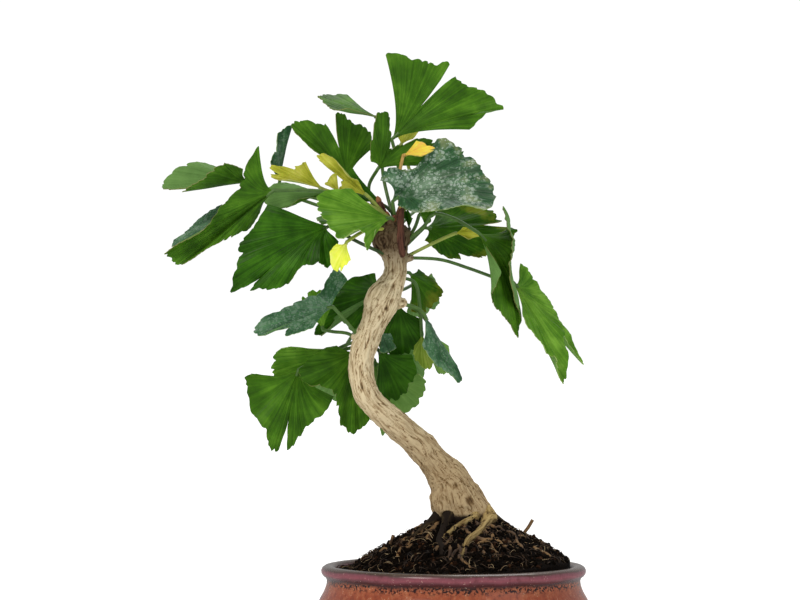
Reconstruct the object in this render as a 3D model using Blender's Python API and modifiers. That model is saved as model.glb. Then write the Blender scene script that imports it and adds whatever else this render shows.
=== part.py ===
# A ginkgo bonsai in a round glazed pot.
# The origin is on the pot's axis, at the surface the pot stands on. +Z is up and -Y is the front.
# Sizes and places are in millimetres, and MM turns them into the scene's metres.

import math
import random

import bmesh
import bpy
from mathutils import Vector, noise

MM = 0.001

# Gap between pieces that touch
GAP = 0.35

# Pot
POT_HEIGHT = 66.0
LIP_RADIUS = 75.0
LIP_WIDTH = 7.6
NECK_RADIUS = 71.9
BELLY_RADIUS = 77.6
FOOT_RADIUS = 49.0
WALL = 5.6
FLOOR = 6.0
ROUND_STEPS = 26

# Drain holes and the net over each
DRAINS = 3
DRAIN_RADIUS = 5.0
DRAIN_RING = 25.0
NET_SIZE = 15.0
NET_THICKNESS = 0.8
NET_CELLS = 3
NET_BAR = 0.9

# Soil, heaped round the trunk
SOIL_FLOOR = FLOOR + NET_THICKNESS + 2 * GAP
SOIL_BRIM = 63.5
SOIL_EDGE = 66.0
MOUND = 94.5
MOUND_CENTRE = (7.0, 0.0)
MOUND_FLAT = 11.0
MOUND_BULGE = 0.9
SOIL_RINGS = 7
SOIL_RELIEF = 1.5
SOIL_GRAIN = 9.0

# Trunk and roots
TRUNK_SIDES = 3
ROOT_SIDES = 1

# Leaves
BLADE = 0.7
LARGE_COLUMNS = 8
LARGE_ROWS = (0.05, 0.38, 0.7, 1.0)
SMALL_ROWS = (0.08, 0.55, 1.0)
PETIOLE = 0.95
YOUNG_PETIOLE = 0.75
FLARE = 0.3
TOOTH = 0.05
WAVE = 1.2
SLIT_WIDTH = 0.045

# Pivot points of the trunk's axis from its buried foot to the cut stump: x, y, z, radius
TRUNK_AXIS = [
    (9, 1, 76, 6), (7, 0.5, 84, 11), (6, 0, 91, 15.5), (4.3, 0, 97, 15), (0.3, -0.5, 106, 14),
    (-3, -1, 114, 11.8), (-11.4, -2.5, 124.5, 8.8), (-22, -4, 136.5, 8.2), (-36, -5, 148.5, 7.6),
    (-47.2, -5.5, 160, 6.9),
    (-51.8, -5, 172, 7), (-52, -3.5, 184, 7.3), (-48.2, -2, 196, 7.1), (-42.6, -0.5, 208, 7.5),
    (-38.6, 0, 218, 8.3), (-34.5, 0.5, 226, 6.8), (-33, 0.5, 233, 6.7), (-33.4, 0, 241, 7.3),
    (-34.8, 0, 247, 9.6), (-35, 0, 252, 10.2), (-34, 0, 256, 8.6), (-33.5, 0, 259, 5),
]

# Burls and knots: place on the bark, radius of the swelling, how far it stands out
BURLS = [
    ((-43, -6, 223), 8, 1.6), ((-28, 1, 209), 6, 2.2), ((-48, 0, 214), 8, 1.8), ((-9, -6, 139), 5, 2.0),
    ((-44, -6, 250), 6, 2.4), ((-25, 2, 254), 6, 1.8), ((-20, -13, 143), 5, -1.6),
    ((-38, -9, 249), 4, -1.4),
    ((18, -8, 98), 8, 2.4), ((-9, -8, 98), 7, 1.8), ((6, -14, 100), 6, 1.6), ((-54, -9, 160), 7, 1.0),
    ((10, 12, 98), 8, 2.2),
]

# Roots that run over the soil and dive into it: x, y, height over the smooth heap, radius
ROOTS = [
    [(14, -4, 2, 5), (20, -9, 0.6, 3.6), (18.7, -13.5, 0.6, 2.9), (14.4, -26, 0.4, 2.4),
     (8, -35.5, 0.5, 2.1),
     (5.6, -42.6, 0.4, 1.8), (1, -52.6, -2.4, 1.3)],
    [(8, -9, 2, 4), (11.5, -14.5, 0.3, 2.6), (4.4, -20.5, 0.3, 2.1), (-3, -27.5, 0.2, 1.7),
     (-9, -34, -2.6, 1.1)],
    [(0, -8, 2, 5), (-4, -15.5, 0.3, 3), (-6.5, -24, 0.2, 2.1), (-8.6, -32.5, 0.3, 1.9),
     (-7.2, -41, 0.3, 1.7), (-8.3, -49, -2.6, 1.1)],
    [(-3, -3, 2, 5), (-12, -8, 0, 3.2), (-20, -13, -0.6, 2.2), (-28, -18, -1.2, 1.6),
     (-36, -22, -3.6, 1.1)],
    [(14, 4, 2, 5), (24, 5, -0.2, 3.2), (33, 9, -0.8, 2.3), (42, 13, -1.2, 1.7), (50, 17, -3.6, 1.1)],
    [(5, 8, 2, 5), (4, 17, 0, 3.2), (2, 27, 0, 2.4), (-4, 38, -0.3, 1.9), (-9, 46, -3.6, 1.2)],
]

# Short shoots and buds that carry the leaves: x, y, z, radius
SHOOTS = [
    [(-31, 3, 246, 4), (-32.5, 2, 253, 3.4), (-31.5, 3, 261, 2.7), (-29.5, 4.5, 268.5, 2)],
    [(-34.5, -1, 252, 3.5), (-37, -2.5, 262, 2.2), (-39.5, -2.5, 266, 1.6), (-41.5, -3, 270, 2.2),
     (-42, -3, 272.5, 0.9)],
    [(-33, 0, 254, 3), (-33.5, -4, 261, 1.9), (-33.5, -5, 264, 1.2)],
    [(-30, 1, 240, 3.5), (-24.5, 1.5, 240, 2.2), (-22.8, 1.5, 240.2, 1.5)],
    [(-37, 1, 214, 3.5), (-29.5, 1.5, 215, 2.2), (-27.5, 1.5, 215, 1.5)],
    [(-50, -2, 194, 3.5), (-56, -2.5, 195, 2.2), (-57.8, -2.5, 195.3, 1.5)],
    [(-50, -2, 188, 3.5), (-50, 4.5, 188.5, 2.4), (-50, 6.8, 189, 1.6)],
    [(-34, 0, 232, 3.5), (-33, 7.2, 232, 2.4), (-33, 9.2, 232.3, 1.6)],
]


def colour(hex_code):
    """Linear RGBA of an sRGB hex value."""
    channels = [int(hex_code[i:i + 2], 16) / 255 for i in (0, 2, 4)]
    return [c / 12.92 if c <= 0.04045 else ((c + 0.055) / 1.055) ** 2.4 for c in channels] + [1.0]


def material(name, hex_code, roughness):
    mat = bpy.data.materials.get(name)
    if mat is None:
        mat = bpy.data.materials.new(name)
        mat.use_nodes = True
        shader = mat.node_tree.nodes["Principled BSDF"]
        shader.inputs["Base Color"].default_value = colour(hex_code)
        shader.inputs["Roughness"].default_value = roughness
    return mat


def new_object(name, mesh, collection, mat=None):
    obj = bpy.data.objects.new(name, mesh)
    collection.objects.link(obj)
    if mat is not None:
        mesh.materials.clear()
        mesh.materials.append(mat)
    return obj


def mesh_from(bm, name):
    mesh = bpy.data.meshes.new(name)
    bm.to_mesh(mesh)
    bm.free()
    return mesh


def baked(obj, weld=True):
    """The evaluated mesh of an object, in world space. The object is removed."""
    bpy.context.view_layer.update()
    graph = bpy.context.evaluated_depsgraph_get()
    mesh = bpy.data.meshes.new_from_object(obj.evaluated_get(graph))
    mesh.transform(obj.matrix_world)
    bpy.data.objects.remove(obj)
    if weld:
        bm = bmesh.new()
        bm.from_mesh(mesh)
        bmesh.ops.remove_doubles(bm, verts=bm.verts, dist=0.01 * MM)
        bm.to_mesh(mesh)
        bm.free()
    return mesh


def joined(obj, others, operation, solver="MANIFOLD"):
    """One boolean of an object with several others, which it uses up."""
    group = bpy.data.collections.new("joining")
    for other in others:
        group.objects.link(other)
    cut = obj.modifiers.new("join", "BOOLEAN")
    cut.operation = operation
    cut.solver = solver
    cut.operand_type = "COLLECTION"
    cut.collection = group
    name, home, mat = obj.name, obj.users_collection[0], obj.data.materials[0]
    obj.name = "joining"
    mesh = baked(obj, weld=False)
    for other in others:
        bpy.data.objects.remove(other)
    bpy.data.collections.remove(group)
    return new_object(name, mesh, home, mat)


def without_scraps(obj):
    """Keep only the largest of an object's loose bodies."""
    bm = bmesh.new()
    bm.from_mesh(obj.data)
    left, bodies = set(bm.verts), []
    while left:
        body, front = set(), [left.pop()]
        while front:
            vertex = front.pop()
            body.add(vertex)
            for edge in vertex.link_edges:
                other = edge.other_vert(vertex)
                if other in left:
                    left.remove(other)
                    front.append(other)
        bodies.append(body)
    bodies.sort(key=len)
    scraps = [vertex for body in bodies[:-1] for vertex in body]
    bmesh.ops.delete(bm, geom=scraps, context="VERTS")
    bm.to_mesh(obj.data)
    bm.free()


def spline(points, place):
    """A Catmull-Rom curve through points, at place points along it."""
    last = len(points) - 1
    i = min(int(place), last - 1)
    t = place - i
    a, b, c, d = (points[max(0, min(last, k))] for k in (i - 1, i, i + 1, i + 2))
    return tuple(0.5 * (2 * q + (r - p) * t + (2 * p - 5 * q + 4 * r - s) * t * t
                        + (3 * q - p - 3 * r + s) * t ** 3)
                 for p, q, r, s in zip(a, b, c, d))


def path_through(points, per_span):
    steps = (len(points) - 1) * per_span
    return [spline(points, k / per_span) for k in range(steps + 1)]


def tube(name, path, collection, resolution, mat):
    """A closed tube along points of x, y, z and radius."""
    curve = bpy.data.curves.new(name, "CURVE")
    curve.dimensions = "3D"
    curve.bevel_depth = MM
    curve.bevel_resolution = resolution
    curve.use_fill_caps = True
    line = curve.splines.new("POLY")
    line.points.add(len(path) - 1)
    for point, (x, y, z, radius) in zip(line.points, path):
        point.co = (x * MM, y * MM, z * MM, 1.0)
        point.radius = radius
    guide = bpy.data.objects.new("guide", curve)
    collection.objects.link(guide)
    mesh = baked(guide)
    bpy.data.curves.remove(curve)
    return new_object(name, mesh, collection, mat)


def turned(name, profile, steps, collection, mat):
    """A solid turned round Z from points of radius and height."""
    bm = bmesh.new()
    row = [bm.verts.new((radius * MM, 0.0, height * MM)) for radius, height in profile]
    for upper, lower in zip(row, row[1:]):
        bm.edges.new((upper, lower))
    obj = new_object(name, mesh_from(bm, name), collection, mat)
    screw = obj.modifiers.new("turn", "SCREW")
    screw.steps = steps
    screw.render_steps = steps
    screw.use_merge_vertices = True
    screw.merge_threshold = 0.00001
    return new_object(name, baked(obj), collection, mat)


def pot_wall(inset):
    """Radius and height down the pot's wall from neck to foot, moved inwards by inset."""
    wall = [(NECK_RADIUS, 58.5), (NECK_RADIUS, 55.5), (73.5, 51.0), (76.2, 46.0), (BELLY_RADIUS, 40.0),
            (77.0, 32.0), (74.0, 23.0), (67.5, 14.0), (58.0, 6.5)]
    return [(radius - inset, height) for radius, height in wall]


def make_pot(home, tools):
    mouth = LIP_RADIUS - LIP_WIDTH
    inside = [(0, FLOOR), (FOOT_RADIUS - 3, FLOOR), (56, 9.5)] + pot_wall(WALL)[-2::-1]
    lip = [(mouth, POT_HEIGHT - 1.8), (mouth + 1.0, POT_HEIGHT - 0.4), (mouth + 2.8, POT_HEIGHT),
           (LIP_RADIUS - 2.4, POT_HEIGHT - 0.2), (LIP_RADIUS - 0.6, POT_HEIGHT - 1.4),
           (LIP_RADIUS, POT_HEIGHT - 3.2), (LIP_RADIUS - 0.6, POT_HEIGHT - 5.2),
           (LIP_RADIUS - 2.0, POT_HEIGHT - 6.4)]
    outside = pot_wall(0) + [(FOOT_RADIUS + 2, 1.6), (FOOT_RADIUS, 0), (0, 0)]
    glaze = material("glazed stoneware", "8F4637", 0.25)
    pot = turned("pot", inside + lip + outside, ROUND_STEPS, home, glaze)
    holes = [drain(k, tools) for k in range(DRAINS)]
    return joined(pot, holes, "DIFFERENCE", "EXACT")


def drain_place(number):
    angle = math.radians(90 + 360 * number / DRAINS)
    return DRAIN_RING * math.cos(angle), DRAIN_RING * math.sin(angle)


def drain(number, tools):
    x, y = drain_place(number)
    bm = bmesh.new()
    bmesh.ops.create_cone(bm, cap_ends=True, segments=16, radius1=DRAIN_RADIUS * MM,
                          radius2=DRAIN_RADIUS * MM, depth=3 * FLOOR * MM)
    bmesh.ops.translate(bm, verts=bm.verts, vec=(x * MM, y * MM, 0))
    return new_object("drain", mesh_from(bm, "drain"), tools)


def make_net(number, home):
    """A square plastic net that keeps the soil off a drain hole."""
    x, y = drain_place(number)
    bm = bmesh.new()
    bmesh.ops.create_grid(bm, x_segments=NET_CELLS, y_segments=NET_CELLS, size=NET_SIZE / 2 * MM)
    bmesh.ops.inset_individual(bm, faces=bm.faces, thickness=NET_BAR / 2 * MM)
    open_cells = [f for f in bm.faces if all(not e.is_boundary and len(v.link_edges) == 3
                                             for v in f.verts for e in f.edges)]
    bmesh.ops.delete(bm, geom=open_cells, context="FACES")
    bmesh.ops.translate(bm, verts=bm.verts, vec=(x * MM, y * MM, (FLOOR + GAP) * MM))
    name = f"drain_net_{number + 1}"
    net = new_object(name, mesh_from(bm, name), home, material("black polyethylene", "15171A", 0.5))
    wall = net.modifiers.new("thickness", "SOLIDIFY")
    wall.thickness = NET_THICKNESS * MM
    wall.offset = 1.0
    return net


def heap_height(x, y):
    """Height of the smooth heap of soil round the trunk, which runs down to the pot's brim."""
    reach = math.hypot(x - MOUND_CENTRE[0], y - MOUND_CENTRE[1])
    slope = max(0.0, min(1.0, (reach - MOUND_FLAT) / (SOIL_EDGE - MOUND_FLAT)))
    return SOIL_BRIM + (MOUND - SOIL_BRIM) * (1 - slope) ** MOUND_BULGE


def mound_height(x, y):
    """Height of the soil, with its crumbs."""
    crumbs = noise.fractal(Vector((x, y, 3.0)) / SOIL_GRAIN, 0.7, 2.0, 3)
    return heap_height(x, y) + SOIL_RELIEF * crumbs


def make_soil(home):
    side = pot_wall(WALL + GAP)
    brim = side[0][0]
    top = [(brim * k / SOIL_RINGS, 100) for k in range(SOIL_RINGS + 1)]
    floor = [(54, 10), (FOOT_RADIUS - 3.5, SOIL_FLOOR), (0, SOIL_FLOOR)]
    profile = top + side[1:-1] + floor
    soil = turned("soil", profile, ROUND_STEPS, home, material("potting soil", "1E1612", 0.95))
    for vertex in soil.data.vertices:
        if vertex.co.z > 70 * MM:
            x, y = vertex.co.x / MM, vertex.co.y / MM
            rise = mound_height(x, y)
            if math.hypot(x, y) > brim - 0.5:
                rise = SOIL_BRIM
            vertex.co.z = rise * MM
    return soil


def swell(obj, burls):
    """Push the bark out, or in, round each burl."""
    for vertex in obj.data.vertices:
        push = Vector()
        for place, radius, height in burls:
            gap = (vertex.co - Vector(place) * MM).length / (radius * MM)
            push += vertex.normal * (height * MM * math.exp(-gap * gap))
        vertex.co += push


def make_trunk(name, thicker, home, tools):
    """Trunk, roots and short shoots, grown as one piece, all of them thicker by an amount."""
    bark = material("ginkgo bark", "A88A66", 0.85)
    trunk = limb(TRUNK_AXIS, thicker, TRUNK_SIDES, home, bark)
    swell(trunk, BURLS)
    limbs = []
    for root in ROOTS:
        laid = [(x, y, heap_height(x, y) + lift, radius) for x, y, lift, radius in root]
        limbs.append(limb(laid, thicker, ROOT_SIDES, tools, bark))
    limbs += [limb(shoot, thicker, 1, tools, bark) for shoot in SHOOTS]
    trunk = joined(trunk, limbs, "UNION")
    trunk.name = name
    return trunk


def limb(points, thicker, resolution, collection, mat):
    """A tube through points, thicker and at both ends longer by the same amount."""
    path = [Vector(p) for p in path_through(points, 2)]
    for end, inner in ((0, 1), (-1, -2)):
        outward = (path[end] - path[inner]).to_3d().normalized() * thicker
        path[end] += outward.to_4d() - Vector((0, 0, 0, 1))
    path = [(x, y, z, radius + thicker) for x, y, z, radius in path]
    return tube("limb", path, collection, resolution, mat)


def copied(obj, collection):
    return new_object("copy", obj.data.copy(), collection)


class Leaf:
    """A fan-shaped blade on its petiole.

    rim runs along the margin, slits are cuts at places counted along rim with their depth, and arch
    bends the rays between base and margin, from its first vector at the fan's start to its second.
    """

    def __init__(self, name, joins, via, base, rim, slits=(), arch=((0, 0, 0), (0, 0, 0)), columns=7,
                 young=False):
        self.name = name
        self.joins = joins
        self.via = via
        self.base = Vector(base)
        self.rim = rim
        self.slits = [(place / (len(rim) - 1), depth) for place, depth in slits]
        self.arch = [Vector(bend) for bend in arch]
        self.columns = columns
        self.young = young
        self.random = random.Random(name)
        self.lobes = [self.random.uniform(0.3, 1.0) for k in range(columns + 1)]
        self.phase = self.random.uniform(0, 6)
        self.middle = sum((Vector(p) for p in rim), Vector()) / len(rim) - self.base
        across = Vector(rim[-1]) - Vector(rim[0])
        self.normal = self.middle.cross(across).normalized()

    def column(self, number):
        """Place along the margin of a column of the blade, moved onto a slit that is near."""
        place = number / self.columns
        for slit, depth in self.slits:
            if 0 < number < self.columns and abs(slit - place) <= 0.5 / self.columns:
                return slit
        return place

    def reach(self, u):
        """How far the margin is out at u, less its notches and slits."""
        at = u * self.columns
        lobe = self.lobes[min(self.columns, int(at))]
        out = 1.0 - TOOTH * lobe * (1 - abs(math.sin(math.pi * at)) ** 0.5)
        for slit, depth in self.slits:
            out -= depth * max(0.0, 1 - abs(u - slit) / SLIT_WIDTH)
        return max(out, 0.25)

    def point(self, u, v):
        """A point of the blade: u along the margin, v from the petiole out."""
        edge = Vector(spline(self.rim, u * (len(self.rim) - 1)))
        spread = v ** FLARE
        ray = self.middle * (1 - spread) + (edge - self.base) * spread
        arch = self.arch[0].lerp(self.arch[1], u) * 4 * v * (1 - v)
        wave = self.normal * WAVE * v * v * math.sin(9 * u + self.phase)
        return self.base + ray * v * self.reach(u) + arch + wave


def make_leaf(leaf, clearance, home, tools):
    mat = material("young leaf", "B9BE3E", 0.5) if leaf.young else material("leaf", "3F6F26", 0.45)
    large = leaf.columns >= LARGE_COLUMNS
    rows = LARGE_ROWS if large else SMALL_ROWS
    bm = bmesh.new()
    bmesh.ops.create_grid(bm, x_segments=leaf.columns, y_segments=len(rows) - 1, size=1)
    margin = [edge for edge in bm.edges if all(vertex.co.y > 0.99 for vertex in edge.verts)]
    bmesh.ops.subdivide_edges(bm, edges=margin, cuts=2 if large else 1)
    for vertex in bm.verts:
        at = (vertex.co.x + 1) / 2 * leaf.columns
        low = min(leaf.columns - 1, int(at + 0.001))
        u = leaf.column(low) + (at - low) * (leaf.column(low + 1) - leaf.column(low))
        row = round((vertex.co.y + 1) / 2 * (len(rows) - 1))
        vertex.co = leaf.point(u, rows[row]) * MM
    bmesh.ops.triangulate(bm, faces=bm.faces)
    blade = new_object(leaf.name, mesh_from(bm, leaf.name), home, mat)
    wall = blade.modifiers.new("thickness", "SOLIDIFY")
    wall.thickness = BLADE * MM
    wall.offset = 0.0
    blade = new_object(leaf.name, baked(blade), home, mat)
    thick = YOUNG_PETIOLE if leaf.young else PETIOLE
    stalk = [(*p, thick) for p in [leaf.joins, *leaf.via]] + [(*leaf.base, 0.85 * thick)]
    rib = [(*leaf.point(0.5, v), size) for v, size in ((0.1, 0.75 * thick), (0.22, 0.4))]
    petiole = tube("petiole", path_through(stalk, 2) + rib, tools, 0, mat)
    blade = joined(blade, [petiole], "UNION")
    blade = joined(blade, [copied(clearance, tools)], "DIFFERENCE")
    without_scraps(blade)
    return blade


LEAVES = [
    # The tall leaf at the top
    Leaf("leaf_01", (-30.2, 4.2, 266), [(-31, 9, 290)], (-35, 11, 308),
         [(-38.5, 5, 357), (-25, 11, 355.5), (-13, 14, 352.5), (-1, 15, 352), (3.5, 16, 342.3), (17, 14, 336.5),
          (29.5, 11, 326), (20.5, 9, 324), (10, 8, 313.5)], [(3.35, 0.5)], columns=7),
    # The upright leaf under it
    Leaf("leaf_02", (-36, 0, 256), [(-45.5, 8, 270), (-48, 7.5, 281)], (-43, -3, 290),
         [(-47, -10, 294), (-46.5, -11, 306), (-43, -9, 320), (-37, -5, 322), (-35, -1, 311),
          (-31, 3, 304.5),
          (-20, 5, 308.5), (-10.5, 5, 306.5), (-11, 4, 300), (-15, 2, 292)], [(4.5, 0.3)]),
    # Edge on, pointing left at the top
    Leaf("leaf_03", (-33, 4, 259), [(-40, 17, 288)], (-41.5, 12, 320),
         [(-60, -2, 325.5), (-67.5, 0, 324.5), (-73, 4, 327), (-77.5, 10, 330), (-77, 16, 333.5),
          (-72.5, 22, 336.5), (-61, 28, 333.5)], columns=6),
    # The cleft leaf on the upper left
    Leaf("leaf_04", (-36, 2, 256), [(-50, 13, 270)], (-60, 8, 284),
         [(-79.5, 0, 301), (-90.5, 0, 313), (-88, 3, 319), (-75, 6, 316.5), (-66.5, 10, 323.5),
          (-58, 12, 318.5), (-47, 15, 313.5), (-46.5, 16, 303)], [(3.5, 0.5)]),
    Leaf("leaf_05", (-31.5, 2, 262), [], (-38, 2, 269),
         [(-58, 6, 290), (-62, 3, 286), (-62, -1, 281), (-57, -3, 276), (-50, -4, 272)], columns=5),
    # The broad leaf in front, speckled with lime
    Leaf("leaf_06", (-33, -3, 262), [], (-34.5, -9, 271.5),
         [(-41, -14, 282.5), (-37.5, -13, 289), (-25, -8, 289.5), (-15, -6, 291.5), (-11, -4, 300),
          (-8, -2, 308.5), (3, -4, 302.5), (9, -9, 297), (17, -16, 289), (23, -24, 276.5), (20, -32, 265.5),
          (6, -38, 268), (-3, -42, 265), (-14, -42, 264), (-24, -34, 265), (-32, -21, 269)],
         [(12.5, 0.1)], ((0, -2, 3), (0, -2, 3)), columns=9),
    # The bright leaf left of the stump
    Leaf("leaf_07", (-33.5, -3, 261), [], (-35, -12, 262),
         [(-58, -19, 277.5), (-74.5, -22, 276), (-76, -28, 268.5), (-72, -34, 260), (-63, -39, 250),
          (-55, -38, 253), (-49, -32, 243), (-44, -24, 254.5)], [(5.3, 0.12)]),
    # The far leaf on the left, folded along its middle
    Leaf("leaf_08", (-34, 4, 249), [(-58, 22, 263), (-86, 30, 274), (-104, 24, 279)], (-115.5, 6, 283),
         [(-119, -4, 291), (-127, -12, 293), (-136, -17, 288), (-144, -18, 281), (-152, -13, 276),
          (-155, -2, 279), (-166.5, 6, 280.5), (-163, 12, 288), (-149, 16, 295), (-132, 18, 291.5)],
         [(4.8, 0.1)]),
    # The long leaf on the left, with an upright flap
    Leaf("leaf_09", (-36, -3, 255), [(-56, -10, 269.5), (-74, -12, 277)], (-101, -13, 277.5),
         [(-110.5, -6, 303), (-117, -14, 290), (-120.5, -20, 279), (-131, -28, 267), (-140, -31, 254.5),
          (-156.5, -29, 245.5), (-162, -24, 240), (-156, -22, 235.5), (-149.5, -24, 236.5),
          (-140, -24, 243),
          (-129.5, -22, 248.5), (-123, -18, 252), (-115, -12, 256.5), (-109, -9, 266)], [], columns=8),
    Leaf("leaf_10", (-35, 2, 252), [(-57, 11, 264), (-80, 18, 275), (-100, 16, 275)], (-118, 4, 271),
         [(-131, 10, 269.5), (-145, 14, 264), (-155, 12, 255), (-160, 6, 247), (-156, -3, 243)], columns=6),
    # Edge on, standing behind the flap
    Leaf("leaf_11", (-34, 4, 256), [(-58, 24, 271), (-84, 34, 280)], (-99.5, 17, 282),
         [(-105.5, 8, 293.5), (-101, 8, 302), (-97.8, 12, 312), (-94.3, 18, 317), (-96.8, 25, 310),
          (-100, 30, 296)], columns=5),
    Leaf("leaf_12", (-36, 0, 257), [(-54, -3, 266), (-64, -4, 273)], (-72, -3, 276.5),
         [(-88, 12, 281), (-99, 13, 282.5), (-107, 8, 278), (-107, 1, 271), (-102, -3, 267.6),
          (-96, -4, 267),
          (-89, -4, 271.5), (-79, -3, 273)]),
    # The large dark leaf at the middle left
    Leaf("leaf_13", (-34, -1, 240), [(-53, -13, 248)], (-70, -14, 257.5),
         [(-104, -16, 269.5), (-112.5, -18, 256), (-120, -20, 247), (-121.5, -21, 236), (-125, -24, 219.5),
          (-114, -26, 221), (-103, -28, 222), (-93, -29, 224.5), (-86, -29, 233), (-76, -27, 235.5),
          (-70, -25, 234), (-65, -19, 249)], [(4.5, 0.22)], ((0, -3, 2), (0, -3, 2)), columns=8),
    # The dark leaf at the middle right
    Leaf("leaf_14", (-31, 3, 243), [(-23, 8, 251)], (-16.5, 10, 257.5),
         [(-9, 22, 269), (6.5, 26, 271), (22, 26, 268), (28, 24, 262), (36, 22, 257), (33, 20, 250),
          (21, 16, 242), (13, 14, 240.5), (4, 12, 240), (-6.5, 10, 243), (-16.5, 9, 250.5)],
         [(3.5, 0.32), (7.5, 0.12)], columns=8),
    # The drooping leaf on the right, curled over at its far edge
    Leaf("leaf_15", (-26, -1, 250), [(-17, -4, 257.5), (-11, -7, 264.5), (1, -9, 261.5)], (14, -12, 253.5),
         [(26, -20, 231), (22.3, -25, 222.5), (21.7, -27, 214), (27, -27, 207.5), (31.5, -24, 203.5),
          (36, -17, 195), (38, -10, 206), (33, -17, 216), (31, -18, 233), (33, -14, 247), (29.5, -6, 260),
          (28.5, 0, 269.5)], [], ((0, 0, 0), (10, 12, 0)), columns=8),
    # The outermost leaf on the right
    Leaf("leaf_16", (-26, 1.5, 240), [(-7.5, 2, 239), (9, 2, 234), (25.5, 0, 228)], (34, -1, 226),
         [(39, -16, 206.5), (43.5, -17, 197), (51, -17, 187.5), (57, -14, 181), (59, -12, 172.5),
          (62.5, -8, 168), (65, -1, 187), (64, 6, 197), (76.5, 18, 178.8), (69, 18, 194), (60, 18, 208),
          (52, 16, 219),
          (43, 11, 231), (37, 9, 236)], [(7.5, 0.1)], columns=8),
    # Behind the trunk, from the top down
    Leaf("leaf_17", (-33, 7, 232), [], (-25, 17, 232),
         [(-19, 26, 234), (-11, 30, 228), (-6.5, 30, 221), (-11.5, 28, 214), (-15, 26, 209.5),
          (-24, 24, 210)]),
    Leaf("leaf_18", (-38, 2, 214), [], (-31, 15, 214),
         [(-19.5, 20, 206), (-17, 22, 196), (-22, 23, 187), (-32, 24, 184), (-41, 23, 187),
          (-46, 20, 195)]),
    Leaf("leaf_19", (-50, 4, 188.5), [], (-43, 15, 188),
         [(-24, 18, 185), (-21, 20, 176), (-24, 21, 168), (-30, 22, 160), (-38, 22, 157), (-46, 20, 160)]),
    Leaf("leaf_20", (-49, 3, 184), [(-51, 20, 184)], (-45, 30, 182),
         [(-68, 32, 161), (-62, 34, 153), (-52, 36, 148.5), (-43.5, 38, 145), (-40, 38, 138),
          (-34.5, 38, 144),
          (-22.5, 36, 153), (-17.5, 34, 160), (-15.5, 32, 169), (-20, 31, 174)], columns=8),
    Leaf("leaf_21", (-46, 0, 202), [], (-41, 10, 198),
         [(-36, 11, 197), (-33, 12, 190), (-36, 12, 186), (-42, 11, 187)], columns=4),
    # The dark hanging leaf right of the trunk
    Leaf("leaf_22", (-32, 1.5, 215), [(-21, 2, 211.5)], (-16.5, 1, 208),
         [(-18, -6, 190), (-13, -8, 182), (-5, -6, 176), (0, -3, 172), (3, 0, 168), (3, 4, 174),
          (-3.5, 8, 187),
          (-11, 8, 202)]),
    Leaf("leaf_23", (-33, 2, 229), [(-22, 7, 226), (-19, 9, 212)], (-18, 11, 197),
         [(-13, 13, 190), (-11.5, 14, 182), (-14, 13, 176), (-19, 12, 179.5), (-22.5, 12, 184),
          (-22, 12, 190)],
         columns=5),
    Leaf("leaf_24", (-32, 1.5, 215), [(-20, 13, 210)], (-11, 16, 198),
         [(-14, 20, 184), (-9, 21, 174.5), (-4, 20, 174), (-1, 18, 177), (-3, 16, 190)], columns=5),
    # The blue-green leaf at the lower left
    Leaf("leaf_25", (-53, -2, 194.5), [(-61, -8, 204)], (-68, -12, 212),
         [(-60, -10, 227), (-66.5, -8, 234), (-72, -10, 226), (-82, -14, 217.5), (-96, -18, 211),
          (-108.5, -22, 204.5), (-112.5, -24, 198), (-108, -26, 195), (-103, -27, 198), (-95, -28, 195.5),
          (-87, -27, 197.5), (-79, -24, 200)], [(2.5, 0.2), (8.5, 0.2)], columns=8),
    Leaf("leaf_26", (-53, -2, 193), [(-60, 1, 197), (-68, 4, 198)], (-74, 6, 199),
         [(-84, 8, 208), (-86.5, 10, 217.5), (-81, 10, 221), (-74, 9, 221.5), (-67, 8, 217)], columns=5),
    Leaf("leaf_27", (-37, 3, 222), [], (-38, 14, 223),
         [(-44.5, 22, 231.5), (-59, 22, 228.5), (-66, 18, 221), (-73, 16, 211), (-79.5, 15, 199.5),
          (-76, 15, 195), (-70, 14, 201), (-66, 14, 208), (-61, 15, 203), (-57.5, 15, 199),
          (-53, 16, 203.5),
          (-47, 17, 206)], [(7, 0.1)], columns=9),
    # The yellow-green leaf below it
    Leaf("leaf_28", (-49, 3, 193), [(-50, 14, 194)], (-58, 21, 189),
         [(-93, 20, 189.5), (-100, 22, 188), (-104, 24, 181), (-103, 26, 173), (-92, 26, 168),
          (-80, 26, 166)]),
    # The lowest leaf on the left, split in two
    Leaf("leaf_29", (-52, 0, 192), [(-60, 13, 191), (-76, 14, 183)], (-88, 8, 176.5),
         [(-103, 6, 172.5), (-115.5, 4, 174), (-118, 2, 170), (-115, 0, 153.5), (-107, -2, 142),
          (-104, -2, 131.5), (-99.5, -2, 130), (-94.5, 0, 130.5), (-88, 2, 136.5), (-84, 4, 143.5),
          (-75, 6, 150.5), (-68, 8, 161)], [(6.5, 0.4)], columns=8),
    # The broad leaf that hangs behind the trunk's bend
    Leaf("leaf_30", (-50, 3, 189), [], (-54, 9, 188.5),
         [(-66, 8, 190), (-75, 6, 187.5), (-88.5, -2, 175.5), (-82, -3, 168), (-70, -2, 165.5),
          (-65.5, 0, 156),
          (-64, 2, 145), (-59, 5, 140), (-54, 8, 142), (-48, 10, 148)], columns=8),
    Leaf("leaf_31", (-31, 2, 250), [], (-25, 2, 256),
         [(-28, 3, 264), (-26.5, 2, 268), (-25, 1, 268), (-23.5, 0, 262)], columns=4),
    Leaf("leaf_32", (-30, 3, 246), [(-22.5, 1, 256)], (-19.5, 0, 264),
         [(-24, 0, 280), (-14, 1, 282), (-7, 2, 274), (-11, 1, 264), (-16, 0, 257.5)], columns=5),
    # The back of the crown
    Leaf("leaf_33", (-31, 4, 258), [(-21, 24, 268)], (-12, 38, 272),
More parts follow.
